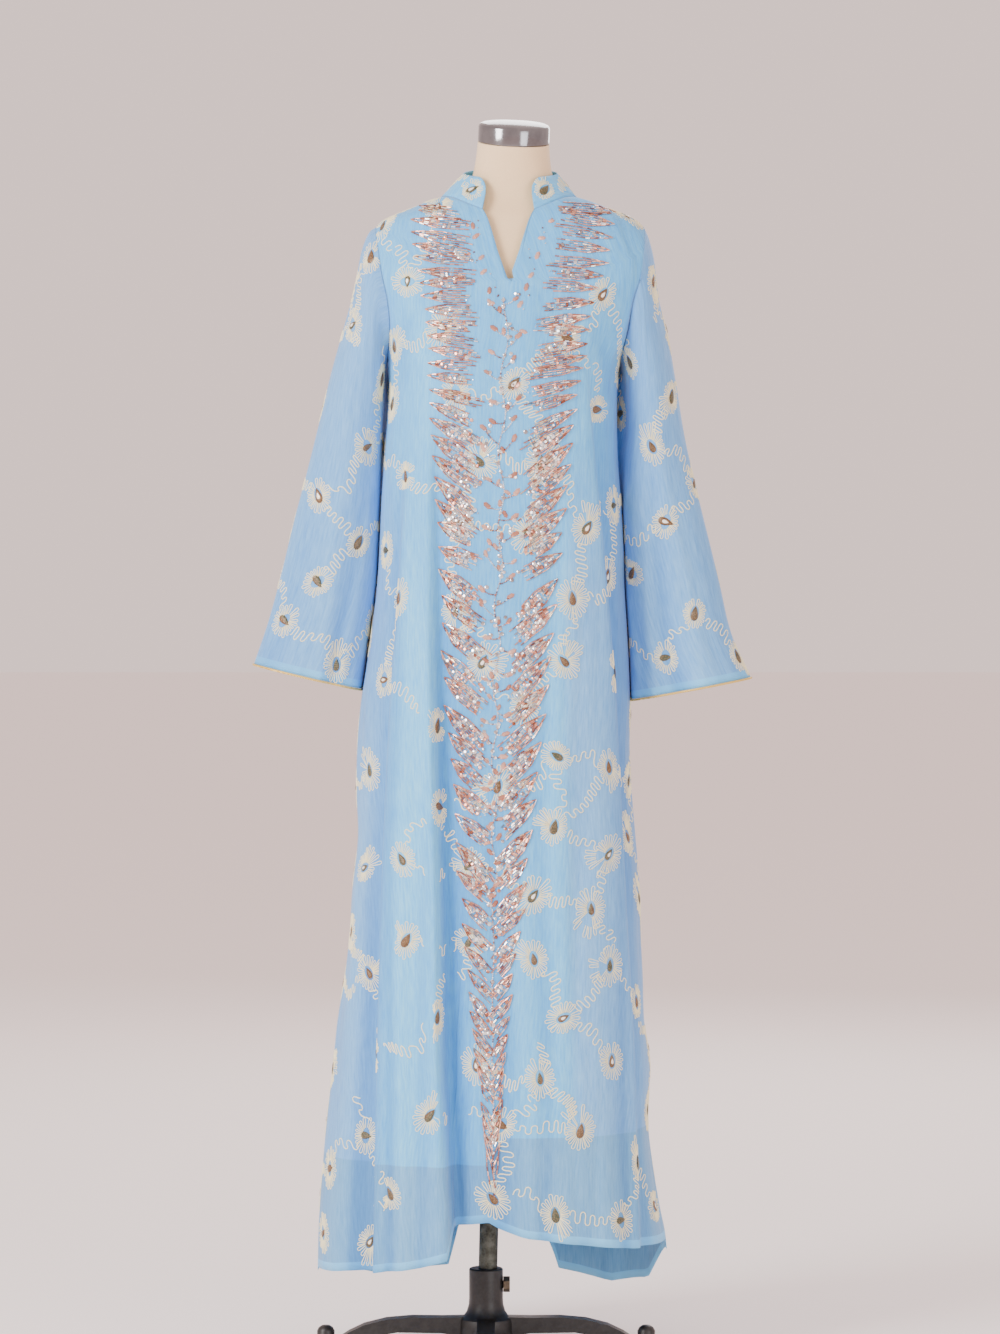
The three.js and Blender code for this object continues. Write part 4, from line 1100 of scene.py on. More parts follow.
front_halves = [(panels[FRONT]["left"], False), (panels[FRONT]["right"], False)]
front_tree = search_tree(*front_halves)
body_tree = search_tree(*front_halves, (panels[BACK]["grid"], True))
sleeve_trees = {side: search_tree((closed_round(grid), side == LEFT))
                for side, grid in sleeves.items()}
collar_tree = search_tree((collar_grid, True))
print("search trees over body, sleeves and collar")

# %% [markdown]
# ## The embroidered flowers
#
# The cloth was embroidered before it was cut. Each flower is one cord, couched in narrow loops
# around a drop-shaped patch. Some flowers have a longer fan of loops to one side. Wavy cords
# wander from flower to flower, and often begin with a tight comb.

# %% Drawing a flower and a squiggle
PATCH = np.array([5.2, 10.0])
FLOWER = np.array([20.0, 26.5])
PITCH, FAN_PITCH = math.radians(18.5), math.radians(13.0)
FAN_HALF, FAN_REACH = math.radians(36), (22, 29)
LOOP = np.array([[-0.28, 0.0], [-0.28, 0.45], [-0.29, 0.86], [-0.15, 1.0],
                 [0.15, 1.0], [0.29, 0.86], [0.28, 0.45], [0.28, 0.0]])


def oval(angle, half):
    return 1 / np.sqrt((np.sin(angle) / half[0]) ** 2 + (np.cos(angle) / half[1]) ** 2)


def flower_line(draw, size, fan):
    """Flat points of one flower's cord, right and up from the middle of its patch."""
    angles, widths, at = [], [], 0.0
    while at < 2 * math.pi - 0.6 * PITCH:
        off = 0 if fan is None else abs((at - fan + math.pi) % (2 * math.pi) - math.pi)
        widths.append(FAN_PITCH if fan is not None and off < FAN_HALF else PITCH)
        angles.append(at + widths[-1] / 2)
        at += widths[-1]
    angles, widths = np.array(angles) + draw.normal(0, 0.02, len(angles)), np.array(widths)
    inner = oval(angles, PATCH + 1.2)
    outer = oval(angles, FLOWER * size) * draw.uniform(0.92, 1.08, len(angles))
    if fan is not None:
        fanned = inner + draw.uniform(*FAN_REACH, len(angles)) * size
        outer = np.where(widths == FAN_PITCH, fanned, outer)
    theta = angles[:, None] + LOOP[:, 0] * widths[:, None]
    radius = inner[:, None] + (outer - inner)[:, None] * LOOP[:, 1]
    return np.stack([radius * np.sin(theta), radius * np.cos(theta)], axis=-1).reshape(-1, 2)


WAVE, COMB_WAVE = 12.0, 7.8
WAVE_HIGH, COMB_HIGH = 6.6, 8.0
WAVE_STEP, POINTS_A_WAVE = 0.4, 12
LOOP_WIDE, CORD_WIDE = 1.2, 1.5


def squiggle(draw, tree, start, end):
    """A wavy cord on the cloth between two points, as unbroken lines."""
    chord = np.linalg.norm(end - start)
    knots = start + (end - start) * np.linspace(0, 1, max(4, int(chord / 12)))[:, None]
    on, facing, _ = lay(tree, knots)
    run = lengths_along(on)
    if run[-1] > 1.5 * chord:
        return []
    fine = np.arange(0, run[-1], WAVE_STEP)
    comb = draw.uniform(18, 34) if draw.random() < 0.45 else 0.0
    tight = fades(fine - comb, 1.6) if comb else np.zeros(len(fine))
    wave = WAVE * draw.uniform(0.9, 1.15) + (COMB_WAVE - WAVE) * tight
    wave *= 1 + 0.2 * np.sin(fine / 19 + draw.uniform(0, 6))
    phase = np.cumsum(2 * math.pi * WAVE_STEP / wave)
    turns = np.arange(phase[0], phase[-1], 2 * math.pi / POINTS_A_WAVE)
    stops = np.interp(turns, phase, fine)
    tight = np.interp(stops, fine, tight)
    swell = 1 + 0.28 * np.sin(stops / 15 + draw.uniform(0, 6))
    high = WAVE_HIGH * swell * (1 - tight) + COMB_HIGH * tight
    half_turn = math.pi * stops / run[-1]
    bow = draw.uniform(-22, 22) * np.sin(half_turn) + draw.uniform(-9, 9) * np.sin(2 * half_turn)
    base, out = points_at(stops, run, on), unit(points_at(stops, run, facing))
    ahead = unit(np.gradient(base, axis=0))
    aside = (high * np.sin(turns) + bow)[:, None]
    along = (-0.1 * np.interp(stops, fine, wave) * np.sin(2 * turns))[:, None]
    flat = base + np.cross(out, ahead) * aside + ahead * along
    return unbroken(*lay(tree, flat, 6.0), 5.0)


# %% [markdown]
# The flowers are scattered so that no two come too close, as in a repeat with much air. The
# seed is fixed, so the garment is the same each time.

# %% Scattering flowers
FLOWER_ROOM, FLOWER_REACH = 12, 19
NEAR_CLOTH = 0.12
Repeat = namedtuple("Repeat", "size fans links near")
ON_BODY = Repeat(size=1.0, fans=0.45, links=0.72, near=150)
ON_SLEEVE = Repeat(size=0.9, fans=0.4, links=0.8, near=130)
ON_COLLAR = Repeat(size=0.72, fans=0.6, links=0.8, near=120)


def scatter(draw, grids, apart, from_hem, tries=3000):
    centres, sizes = [], []
    for grid in grids:
        inner = grid[from_hem:]
        quads = inner.reshape(-1, 3)[cells(numbered(inner))]
        centres.append(quads.mean(axis=1))
        crossed = np.cross(quads[:, 2] - quads[:, 0], quads[:, 3] - quads[:, 1])
        sizes.append(np.linalg.norm(crossed, axis=1))
    centres, sizes = np.concatenate(centres), np.concatenate(sizes)
    kept = np.empty((0, 3))
    for point in centres[draw.choice(len(centres), tries, p=sizes / sizes.sum())]:
        if not len(kept) or np.linalg.norm(kept - point, axis=1).min() > apart:
            kept = np.append(kept, [point], axis=0)
    return kept


def embroider(draw, tree, centres, repeat):
    """The cords and the patches of flowers at these centres, with cords between neighbours."""
    on, facing, _ = lay(tree, centres)
    right, up = directions(facing)
    room = [lay(tree, on + turned * reach)[2]
            for turned in (right, up) for reach in (-FLOWER_ROOM, FLOWER_ROOM)]
    on, facing, right, up = (rows[np.all(room, axis=0)] for rows in (on, facing, right, up))
    lines, patches = [], []
    for k in range(len(on)):
        lean = draw.normal(0, 0.5)
        axes = np.stack([right[k] * math.cos(lean) - up[k] * math.sin(lean),
                         right[k] * math.sin(lean) + up[k] * math.cos(lean)])
        fan = draw.uniform(0, 2 * math.pi) if draw.random() < repeat.fans else None
        drawn = on[k] + flower_line(draw, repeat.size * draw.uniform(0.86, 1.1), fan) @ axes
        found = unbroken(*lay(tree, drawn), 12.0)
        lines.extend((*line, LOOP_WIDE) for line in found)
        if found:
            turned = axes[draw.integers(0, 2)] if fan is None else axes[1]
            patches.append((on[k], facing[k], turned))
    for k in range(len(on)):
        gap = np.linalg.norm(on - on[k], axis=1)
        for other in np.argsort(gap)[1:4]:
            if other > k and gap[other] < repeat.near and draw.random() < repeat.links:
                step = (on[other] - on[k]) / gap[other] * FLOWER_REACH
                wavy = squiggle(draw, tree, on[k] + step, on[other] - step)
                lines.extend((*line, CORD_WIDE) for line in wavy)
    return lines, patches


def thread_mesh(name, lines, high):
    points, faces, painted_flank_shades, count = [], [], [], 0
    for line, facing, wide in lines:
        aside = unit(np.cross(facing, np.gradient(line, axis=0))) * wide / 2
        foot = facing * NEAR_CLOTH
        rows = np.stack([line - aside + foot, line + facing * high, line + aside + foot], axis=1)
        faces.append(cells(numbered(rows, count))[:, ::-1])
        points.append(rows.reshape(-1, 3))
        # painted shade mark: 1 at the cord's two edges, 0 at its crown
        painted_flank_shades.append(np.tile([1.0, 0.0, 1.0], len(line)))
        count += len(points[-1])
    mesh = mesh_of(name, np.concatenate(points), np.ascontiguousarray(np.concatenate(faces)))
    set_mark(mesh, "painted_flank_shade", np.concatenate(painted_flank_shades))
    return mesh


# %% [markdown]
# The middle of a flower is a raised drop of glitter leather: a rim on the cloth, a smaller ring
# above it and a top. Some are brown, some grey-green, some both, and a few have a painted
# white highlight on the top.

# %% Patches
DROP_SIDES = 12
PATCH_HIGH = 1.7


def patch_mesh(name, draw, patches):
    turn = all_round(DROP_SIDES)
    outline = np.stack([np.sin(turn) * np.sin(turn / 2) / 0.77, np.cos(turn)], axis=-1)
    ids = np.arange(DROP_SIDES)
    after = np.roll(ids, -1)
    top = np.full(DROP_SIDES, 2 * DROP_SIDES)
    drop = np.concatenate([
        np.stack([after, ids, ids + DROP_SIDES], axis=-1),
        np.stack([after, ids + DROP_SIDES, after + DROP_SIDES], axis=-1),
        np.stack([after + DROP_SIDES, ids + DROP_SIDES, top], axis=-1)])
    points, faces, tones, painted_glints = [], [], [], []
    for at, facing, up in patches:
        axes = np.stack([np.cross(up, facing), up]) * (PATCH * draw.uniform(0.82, 1.12))[:, None]
        rings = [at + outline @ axes * share + facing * high
                 for share, high in ((1, 0.15), (0.66, 0.8 * PATCH_HIGH))]
        faces.append(drop + len(points) * (2 * DROP_SIDES + 1))
        points.append(np.concatenate([*rings, [at - axes[1] * 0.15 + facing * PATCH_HIGH]]))
        first, second = draw.random(2) if draw.random() < 0.35 else [draw.random()] * 2
        halves = np.where(outline[:, 0] > 0, first, second)
        tones.append([*halves, *halves, first])
        # painted highlight: some drops get a near-white top point
        painted_glints.append([0.0] * (2 * DROP_SIDES) + [float(draw.random() < 0.3)])
    mesh = mesh_of(name, np.concatenate(points), np.ascontiguousarray(np.concatenate(faces)))
    mesh.shade_flat()
    set_mark(mesh, "tone", tones)
    set_mark(mesh, "painted_glint", painted_glints)
    return mesh


def patch_material():
    material, tree, shader = start_material("glitter_patch", Metallic=0.2, Roughness=0.3)
    grains = own_texture(tree, "ShaderNodeTexVoronoi", Scale=650.0)
    green = step_at(tree, read_mark(tree, "tone"), 0.35, 0.65)
    ground = mix_colour(tree, green, colour(100, 72, 46), colour(66, 74, 56))
    between = step_at(tree, grains.outputs["Distance"], 0.0, 0.6)
    tint = mix_colour(tree, between, colour(160, 128, 90), ground)
    # painted highlight: the marked top point turns near white
    painted_lit_share = step_at(tree, read_mark(tree, "painted_glint"), 0.3, 0.45)
    tree.links.new(mix_colour(tree, painted_lit_share, tint, colour(255, 250, 238)), shader.inputs["Base Color"])
    add_bump(tree, shader, grains.outputs["Distance"], 0.5, 0.0007)
    return material


glitter_patch = patch_material()
patch_draw = np.random.default_rng(SEEDS["patches"])
print("patches of", 3 * DROP_SIDES, "faces each")

# %% [markdown]
# The cord is matt cream cotton with a twist; its flanks are painted darker than its crown, as
# shade. Front and back are embroidered together, so that cords cross the side seams. Each thread
# piece then keeps the lines that lie on its own panel.

# %% Embroidery
CORD_HIGH = 0.8
BODY_APART, SLEEVE_APART, CLEAR_ROWS = 77, 70, 3
V_CLEAR = {"half": 48, "from": 1395}
COLLAR_FLOWERS = [13, 48, 76, 104, 137]


def cream_cord_material():
    material, tree, shader = start_material("cream_cord", Roughness=0.75, Sheen_Weight=0.25)
    twist = own_texture(tree, "ShaderNodeTexNoise", Scale=1500.0, Detail=1.0)
    crown = mix_colour(tree, twist.outputs["Fac"], colour(255, 246, 194), colour(255, 252, 222))
    # painted shade: the cord's flanks are coloured darker than its crown
    at_painted_flank_shade = step_at(tree, read_mark(tree, "painted_flank_shade"), 0.35, 1.25)
    tint = mix_colour(tree, at_painted_flank_shade, crown, colour(222, 206, 158))
    tree.links.new(tint, shader.inputs["Base Color"])
    add_bump(tree, shader, twist.outputs["Fac"], 0.5, 0.0005)
    return material


cream_cord = cream_cord_material()


def add_embroidery(key, word, lines, patches):
    threads = thread_mesh(f"embroidery_{word}", lines, CORD_HIGH)
    drops = patch_mesh(f"patches_{word}", patch_draw, patches)
    print(word, len(lines), "cords,", 2 * len(threads.polygons), "triangles,",
          len(patches), "patches")
    worn[key] += [add_object(threads.name, threads, cream_cord, GARMENT),
                  add_object(drops.name, drops, glitter_patch, GARMENT)]


def embroider_body():
    draw = np.random.default_rng(SEEDS["body"])
    spots = scatter(draw, [panels[FRONT]["left"], panels[FRONT]["right"], panels[BACK]["grid"]],
                    BODY_APART, CLEAR_ROWS)
    at_opening = ((spots[:, 1] < 0) & (abs(spots[:, 0] - NOTCH_X) < V_CLEAR["half"])
                  & (spots[:, 2] > V_CLEAR["from"]))
    lines, patches = embroider(draw, body_tree, spots[~at_opening], ON_BODY)
    for key, forward in (("front", True), ("back", False)):
        add_embroidery(key, key,
                       [line for line in lines if (line[0][:, 1].mean() < 0) == forward],
                       [patch for patch in patches if (patch[0][1] < 0) == forward])


def embroider_sleeve(side):
    word = SIDE_NAME[side]
    draw = np.random.default_rng(SEEDS[word])
    spots = scatter(draw, [closed_round(sleeves[side])[::-1]], SLEEVE_APART, CLEAR_ROWS)
    drawn = embroider(draw, sleeve_trees[side], spots, ON_SLEEVE)
    add_embroidery(word, f"sleeve_{word}", *drawn)


embroider_body()
embroider_sleeve(LEFT)
embroider_sleeve(RIGHT)
collar_spots = collar_grid[COLLAR_ROWS // 2, COLLAR_FLOWERS]
add_embroidery("collar", "collar", *embroider(
    np.random.default_rng(SEEDS["collar"]), collar_tree, collar_spots, ON_COLLAR))

# %% [markdown]
# ## Beads, sequins and stones
#
# All of them are grown by one node tree. Its points carry the axis, the side and the size of
# each bead, and it sets a small frustum on each: long and level for a bugle bead, flat for a
# sequin, wide and faceted for a stone. Their facets are flat, because that is what sparkles.

# %% Bead tree
def bead_tree():
    tree = bpy.data.node_groups.new("beads_on_cloth", "GeometryNodeTree")
    sockets = tree.interface.new_socket
    sockets(name="Places", in_out="INPUT", socket_type="NodeSocketGeometry")
    sockets(name="Sides", in_out="INPUT", socket_type="NodeSocketInt").default_value = 6
    sockets(name="Top Share", in_out="INPUT", socket_type="NodeSocketFloat").default_value = 1.0
    sockets(name="Finish", in_out="INPUT", socket_type="NodeSocketMaterial")
    sockets(name="Beads", in_out="OUTPUT", socket_type="NodeSocketGeometry")
    start, end = tree.nodes.new("NodeGroupInput"), tree.nodes.new("NodeGroupOutput")
    link = tree.links.new

    def read(name):
        found = tree.nodes.new("GeometryNodeInputNamedAttribute")
        found.data_type = "FLOAT_VECTOR"
        found.inputs["Name"].default_value = name
        return next(socket for socket in found.outputs if socket.enabled)

    bead = tree.nodes.new("GeometryNodeMeshCone")
    bead.inputs["Radius Bottom"].default_value = 1.0
    bead.inputs["Depth"].default_value = 1.0
    link(start.outputs["Sides"], bead.inputs["Vertices"])
    link(start.outputs["Top Share"], bead.inputs["Radius Top"])
    turned = tree.nodes.new("FunctionNodeAxesToRotation")
    turned.primary_axis, turned.secondary_axis = "Z", "X"
    link(read("bead_axis"), turned.inputs["Primary Axis"])
    link(read("bead_side"), turned.inputs["Secondary Axis"])
    set_on = tree.nodes.new("GeometryNodeInstanceOnPoints")
    link(start.outputs["Places"], set_on.inputs["Points"])
    link(bead.outputs["Mesh"], set_on.inputs["Instance"])
    link(turned.outputs["Rotation"], set_on.inputs["Rotation"])
    link(read("bead_size"), set_on.inputs["Scale"])
    facets = tree.nodes.new("GeometryNodeSetShadeSmooth")
    facets.inputs["Shade Smooth"].default_value = False
    real = tree.nodes.new("GeometryNodeRealizeInstances")
    finish = tree.nodes.new("GeometryNodeSetMaterial")
    link(set_on.outputs["Instances"], real.inputs["Geometry"])
    link(real.outputs["Geometry"], facets.inputs["Geometry"])
    link(facets.outputs["Geometry"], finish.inputs["Geometry"])
    link(start.outputs["Finish"], finish.inputs["Material"])
    link(finish.outputs["Geometry"], end.inputs["Beads"])
    return tree


BEADS = bead_tree()
bead_draw = np.random.default_rng(SEEDS["beads"])


def grow(name, beads, sides, top, material):
    """beads: rows of place, axis, side and size, all in millimetres."""
    at, axis, side, size = (np.array([bead[k] for bead in beads], float) for k in range(4))
    mesh = bpy.data.meshes.new(f"{name}_places")
    mesh.vertices.add(len(at))
    mesh.vertices.foreach_set("co", place(at).ravel())
    for key, values in (("bead_axis", axis), ("bead_side", side), ("bead_size", size / 1000)):
        set_mark(mesh, key, values, "FLOAT_VECTOR", "vector")
    set_mark(mesh, "tone", bead_draw.random(len(at)))
    spots = bpy.data.objects.new(f"{name}_places", mesh)
    bpy.context.collection.objects.link(spots)
    grower = spots.modifiers.new("beads", "NODES")
    grower.node_group = BEADS
    values = {"Sides": sides, "Top Share": top, "Finish": material}
    for socket in BEADS.interface.items_tree:
        if socket.in_out == "INPUT" and socket.name in values:
            grower[socket.identifier] = values[socket.name]
    grown = bpy.data.meshes.new_from_object(
        spots.evaluated_get(bpy.context.evaluated_depsgraph_get()))
    grown.name = name
    bpy.data.objects.remove(spots)
    grown.materials.clear()
    triangles = sum(len(face.vertices) - 2 for face in grown.polygons)
    print(name, len(at), "beads,", triangles, "triangles")
    return add_object(name, grown, material, GARMENT)


def bead_material(name, dark, light, roughness, metallic):
    material, tree, shader = start_material(name, Roughness=roughness, Metallic=metallic)
    tint = mix_colour(tree, read_mark(tree, "tone"), colour(*dark), colour(*light))
    tree.links.new(tint, shader.inputs["Base Color"])
    return material


rose_gold = bead_material("rose_gold_bead", (150, 90, 72), (246, 188, 166), 0.22, 0.8)
silver = bead_material("silver_bead", (132, 134, 144), (255, 255, 255), 0.14, 0.85)
bright = bead_material("bright_sequin", (158, 150, 152), (255, 255, 255), 0.12, 0.85)
pale_seed = bead_material("pale_seed", (196, 192, 192), (255, 255, 255), 0.2, 0.5)
rose_stone = bead_material("rose_stone", (186, 122, 102), (240, 190, 172), 0.12, 0.5)
champagne = bead_material("champagne_bead", (228, 196, 166), (252, 236, 212), 0.2, 0.75)


# %% [markdown]
# ## The beaded front
#
# Two columns of pointed bead leaves run down the front and meet above the hem. Near the
# shoulders the leaves lie level and close; lower down they tip upwards and outwards and get
# slimmer. The tables give where a column is and how its leaves stand. The drawing is made as it
# is seen from the front, and each bead is carried along the sight line onto the cloth.

# %% Leaf tables
EYE = np.array([CAMERA_SIDE * 1000, -CAMERA_AWAY * 1000, CAMERA_HEIGHT * 1000])
COLUMN = table(["z", "out_left", "in_left", "in_right", "out_right"], [
    [200, 9, 10.5, 10.8, 12], [232, 4, 8, 10.8, 13.5], [302, -3, 6.8, 10.8, 17.6],
    [370, -8, 5.4, 10.8, 24.3], [433, -17.6, 5.4, 12.2, 28.4], [544, -27, 5.4, 13.5, 40.5],
    [617, -34, 4.1, 16.2, 54], [679, -40.5, 2.7, 20.3, 56.7], [783, -46, -4.1, 27, 70.2],
    [865, -54, -8.1, 32.4, 81], [948, -59.4, -9.5, 39.2, 89], [1019, -59.4, -10.8, 41.9, 94.5],
    [1099, -66.2, -16.2, 54, 102.6], [1222, -71.6, -16.2, 56.7, 114.8],
    [1295, -75.6, -15.5, 60.8, 122.9], [1353, -78.3, -18.2, 64.8, 135],
    [1412, -83, -19.6, 78.3, 143], [1485, -97.2, -21.6, 94.5, 167.4],
    [1550, -102.6, -32.4, 103.9, 175.5],
])
LEAF = table(["z", "tilt", "pitch", "wide"], [
    [200, 82, 18, 5], [300, 76, 20, 6], [370, 62, 22, 9], [430, 54, 25, 11], [544, 49, 29, 15],
    [617, 47, 34, 18], [700, 45, 37, 21], [900, 45, 37, 22], [1050, 44, 35, 22],
    [1105, 26, 29, 19], [1165, 42, 33, 21], [1250, 36, 27, 20], [1290, 18, 20, 15.5],
    [1330, 8, 18, 14.5], [1412, 3, 17.5, 14.5], [1550, 2, 17, 14.5],
])
VINE = table(["z", "x"], [
    [200, 10.8], [302, 8.8], [433, 8.8], [544, 9.5], [617, 10], [679, 11.5], [783, 11.5],
    [865, 12.2], [948, 15], [1019, 15.5], [1099, 20], [1222, 20.3], [1353, 25], [1436, 28],
])
ROW_PITCH = 2.5
BUGLE, BUGLE_GAP, BUGLE_R = 5.6, 0.5, 0.95
SEQUIN_R, SEED_R = 2.8, 1.35
LEAF_TOP = {LEFT: 1549.0, RIGHT: 1541.0}
LEAF_FOOT, SEQUINS_BELOW = 262, 1290
LEAF_SHORTEST, LEAF_LONGEST = 22, 74


def read_at(rows, column, z):
    return float(np.interp(z, rows["z"], rows[column]))


def leaf_rows(draw, tip, tilt, reach, wide, side):
    """Starts and ends of the beads that fill one leaf, and the part of it that each is in."""
    ahead = np.array([-side * math.cos(tilt), -math.sin(tilt)])
    across = np.array([-ahead[1], ahead[0]])
    rows, bend = max(2, round(wide / ROW_PITCH)), draw.uniform(-3, 3)
    made = []
    for share in np.linspace(-1, 1, rows):
        on_edge = abs(share) > 0.99
        first = 0.0 if on_edge else draw.uniform(0.1, 0.26) * (1.3 - abs(share))
        last = draw.uniform(0.78, 1.08)
        for stop in np.arange(first * reach, last * reach, BUGLE + BUGLE_GAP):
            ends = np.array([stop, stop + BUGLE])
            half = wide / 2 * np.minimum(ends / (0.46 * reach), 1) ** 0.85
            aside = share * half + bend * (ends / reach) ** 2
            part = "edge" if on_edge else "tip" if stop < 0.34 * reach else "inside"
            made.append((tip + np.outer(ends, ahead) + np.outer(aside, across), part))
    return made


# %% [markdown]
# A kind is drawn for each bead: edges and tips are mostly rose gold, insides mix silver and
# champagne bugles with round sequins and seed beads. The lower leaves have more sequins.

# %% Filling the leaves
KINDS = ["rose", "silver", "champagne", "sequin", "seed"]
MIX = {"edge": [0.82, 0.1, 0.08, 0.0, 0.0], "tip": [0.6, 0.14, 0.16, 0.04, 0.06],
       "upper": [0.46, 0.14, 0.16, 0.15, 0.09], "lower": [0.2, 0.14, 0.12, 0.44, 0.1]}
LONGEST_STITCH = 1.9 * BUGLE
stitched = {kind: [] for kind in [*KINDS, "rose_seed", "stone", "rose_sequin"]}


def carried(points):
    """Points drawn as seen from the front, on the cloth; misses are None."""
    hits = []
    for x, z in np.asarray(points, float).reshape(-1, 2):
        sight = np.array([x, 0, z]) - EYE
        found, facing, _, _ = front_tree.ray_cast(EYE.tolist(), sight.tolist())
        hits.append((np.array(found), np.array(facing)) if found is not None else None)
    return hits


def stitch(draw, kind, ends):
    first, last = carried(ends)
    if first is None or last is None:
        return
    span = last[0] - first[0]
    length = np.linalg.norm(span)
    if length > LONGEST_STITCH:
        return
    facing = unit(first[1] + last[1])
    if kind in ("rose", "silver", "champagne"):
        axis = unit(span / length + draw.normal(0, 0.045, 3))
        rolled = unit(facing + draw.normal(0, 0.5, 3))
        seat = first[0] + facing * (BUGLE_R + 0.1)
        stitched[kind].append((seat, axis, rolled, (BUGLE_R, BUGLE_R, length)))
        return
    tilted = unit(facing + draw.normal(0, 0.13, 3))
    flat, high, lift = (SEQUIN_R, 0.7, 1.0) if "sequin" in kind else (SEED_R, 1.5, 0.1)
    flat *= draw.uniform(0.85, 1.12)
    seat = (first[0] + last[0]) / 2 + facing * lift
    stitched[kind].append((seat, tilted, span / length, (flat, flat, high)))


def fill_leaf(draw, tip_z, side):
    outer, inner = f"out_{SIDE_NAME[side]}", f"in_{SIDE_NAME[side]}"
    droop = np.interp(tip_z, [1250, 1400, 1550], [0, 0, 14]) * (-1 if side == RIGHT else 0.4)
    tilt = math.radians(read_at(LEAF, "tilt", tip_z) + droop + draw.uniform(-5, 5))
    tip = np.array([read_at(COLUMN, outer, tip_z) + draw.uniform(-2, 2), tip_z])
    level = abs(read_at(COLUMN, inner, tip_z) - tip[0])
    foot = abs(read_at(COLUMN, inner, tip_z - level * math.tan(tilt) * 0.6) - tip[0])
    reach = min(max(foot / math.cos(tilt), LEAF_SHORTEST), LEAF_LONGEST)
    reach *= draw.uniform(0.94, 1.06)
    wide = read_at(LEAF, "wide", tip_z) * draw.uniform(0.9, 1.1)
    inside = "lower" if tip_z < SEQUINS_BELOW else "upper"
    for ends, part in leaf_rows(draw, tip, tilt, reach, wide, side):
        kind = draw.choice(KINDS, p=MIX[inside if part == "inside" else part])
        if kind == "sequin" and draw.random() < 0.34:
            kind = "rose_sequin"
        stitch(draw, kind, ends)


def fill_column(draw, side):
    """Leaves from the shoulder down to above the hem; gives their number."""
    tip_z, count = LEAF_TOP[side], 0
    while tip_z > LEAF_FOOT:
        fill_leaf(draw, tip_z, side)
        tip_z -= read_at(LEAF, "pitch", tip_z) * draw.uniform(0.9, 1.1)
        count += 1
    return count


leaf_draw = np.random.default_rng(SEEDS["leaves"])
leaves = fill_column(leaf_draw, LEFT) + fill_column(leaf_draw, RIGHT)
print(leaves, "leaves,", {kind: len(found) for kind, found in stitched.items()})

# %% [markdown]
# A vine of seed beads goes down between the columns, with twigs to both sides that end in
# leaf-shaped stones. More stones lie loosely along the V. Below the columns' meeting point the
# vine is a plain line of beads to its tip.

# %% Vine
BEAD_STEP = 2.8
VINE_TOP, VINE_FOOT = 1428, 205
TWIGS_TOP, TWIGS_END, TWIG_PITCH = 1418, 600, 14.5
V_EDGES = ((-14, 8), (84, 50))
V_TOP, V_DEEP = 1528, 112


def bead_line(draw, points, kinds, chances):
    """Beads in a row along a line drawn as seen from the front."""
    lengths = lengths_along(points)
    ends = points_at(np.arange(0, lengths[-1], BEAD_STEP), lengths, points)
    for first, last in zip(ends, ends[1:]):
        stitch(draw, draw.choice(kinds, p=chances), np.array([first, last]))


def stitch_at(draw, kind, point):
    stitch(draw, kind, np.array([point, point + [1, 0]]))


def set_stone(draw, point, angle, size=1.0):
    first, last = carried([point, point + np.array([math.cos(angle), math.sin(angle)])])
    if first is None or last is None:
        return
    scale = size * draw.uniform(0.85, 1.15)
    stitched["stone"].append((first[0] + first[1] * 0.2, unit(first[1] + draw.normal(0, 0.06, 3)),
                              unit(last[0] - first[0]), (6.4 * scale, 3.5 * scale, 2.2)))


def stem_line():
    heights = np.arange(VINE_TOP, VINE_FOOT, -4.0)
    sway = np.where(heights > TWIGS_END, 4.2, 1.0) * np.sin(heights / 16.5)
    return np.stack([np.interp(heights, VINE["z"], VINE["x"]) + sway, heights], axis=-1)


def add_twig(draw, stem, height, side):
    root = np.array([np.interp(height, stem[::-1, 1], stem[::-1, 0]), height])
    room = read_at(COLUMN, f"in_{SIDE_NAME[side]}", height) - root[0]
    reach = min(abs(room) - 3, 20) * draw.uniform(0.75, 1.1)
    rise = draw.uniform(-0.9, 0.7)
    share = np.linspace(0, 1, 7)
    bowed = reach * (rise * share + 0.55 * share ** 2)
    twig = root + np.stack([side * reach * share, bowed], axis=-1)
    silvery = draw.random() < 0.5
    bead_line(draw, twig, ["seed", "rose_seed"], [0.85, 0.15] if silvery else [0.1, 0.9])
    tip_angle = math.atan2(twig[-1, 1] - twig[-3, 1], twig[-1, 0] - twig[-3, 0])
    set_stone(draw, twig[-1], tip_angle + draw.uniform(-0.4, 0.4))
    if draw.random() < 0.55:
        set_stone(draw, root + [side * -5, -7], draw.uniform(0.6, 2.6), 0.85)
    for spot in (root, twig[-1]):
        for _ in range(draw.integers(0, 3)):
            stitch_at(draw, "sequin", spot + draw.uniform(-7, 7, 2))


def stones_along(draw, first_x, last_x):
    """Stones along an edge of the V, each with two seed beads near it."""
    for share in np.linspace(0, 1, 6):
        spot = np.array([first_x + (last_x - first_x) * share, V_TOP - V_DEEP * share])
        spot = spot + draw.uniform(-5, 5, 2)
        set_stone(draw, spot, draw.uniform(0, math.pi), 0.95)
        for _ in range(2):
            near = spot + draw.uniform(-13, 13, 2)
            stitch_at(draw, draw.choice(["seed", "rose_seed"]), near)


vine_draw = np.random.default_rng(SEEDS["vine"])
vine_stem = stem_line()
bead_line(vine_draw, vine_stem, ["seed", "rose_seed", "sequin"], [0.62, 0.3, 0.08])
for count, height in enumerate(np.arange(TWIGS_TOP, TWIGS_END, -TWIG_PITCH)):
    add_twig(vine_draw, vine_stem, height, LEFT if count % 2 else RIGHT)
for edge in V_EDGES:
    stones_along(vine_draw, *edge)
print("vine and V with", len(stitched["stone"]), "stones")

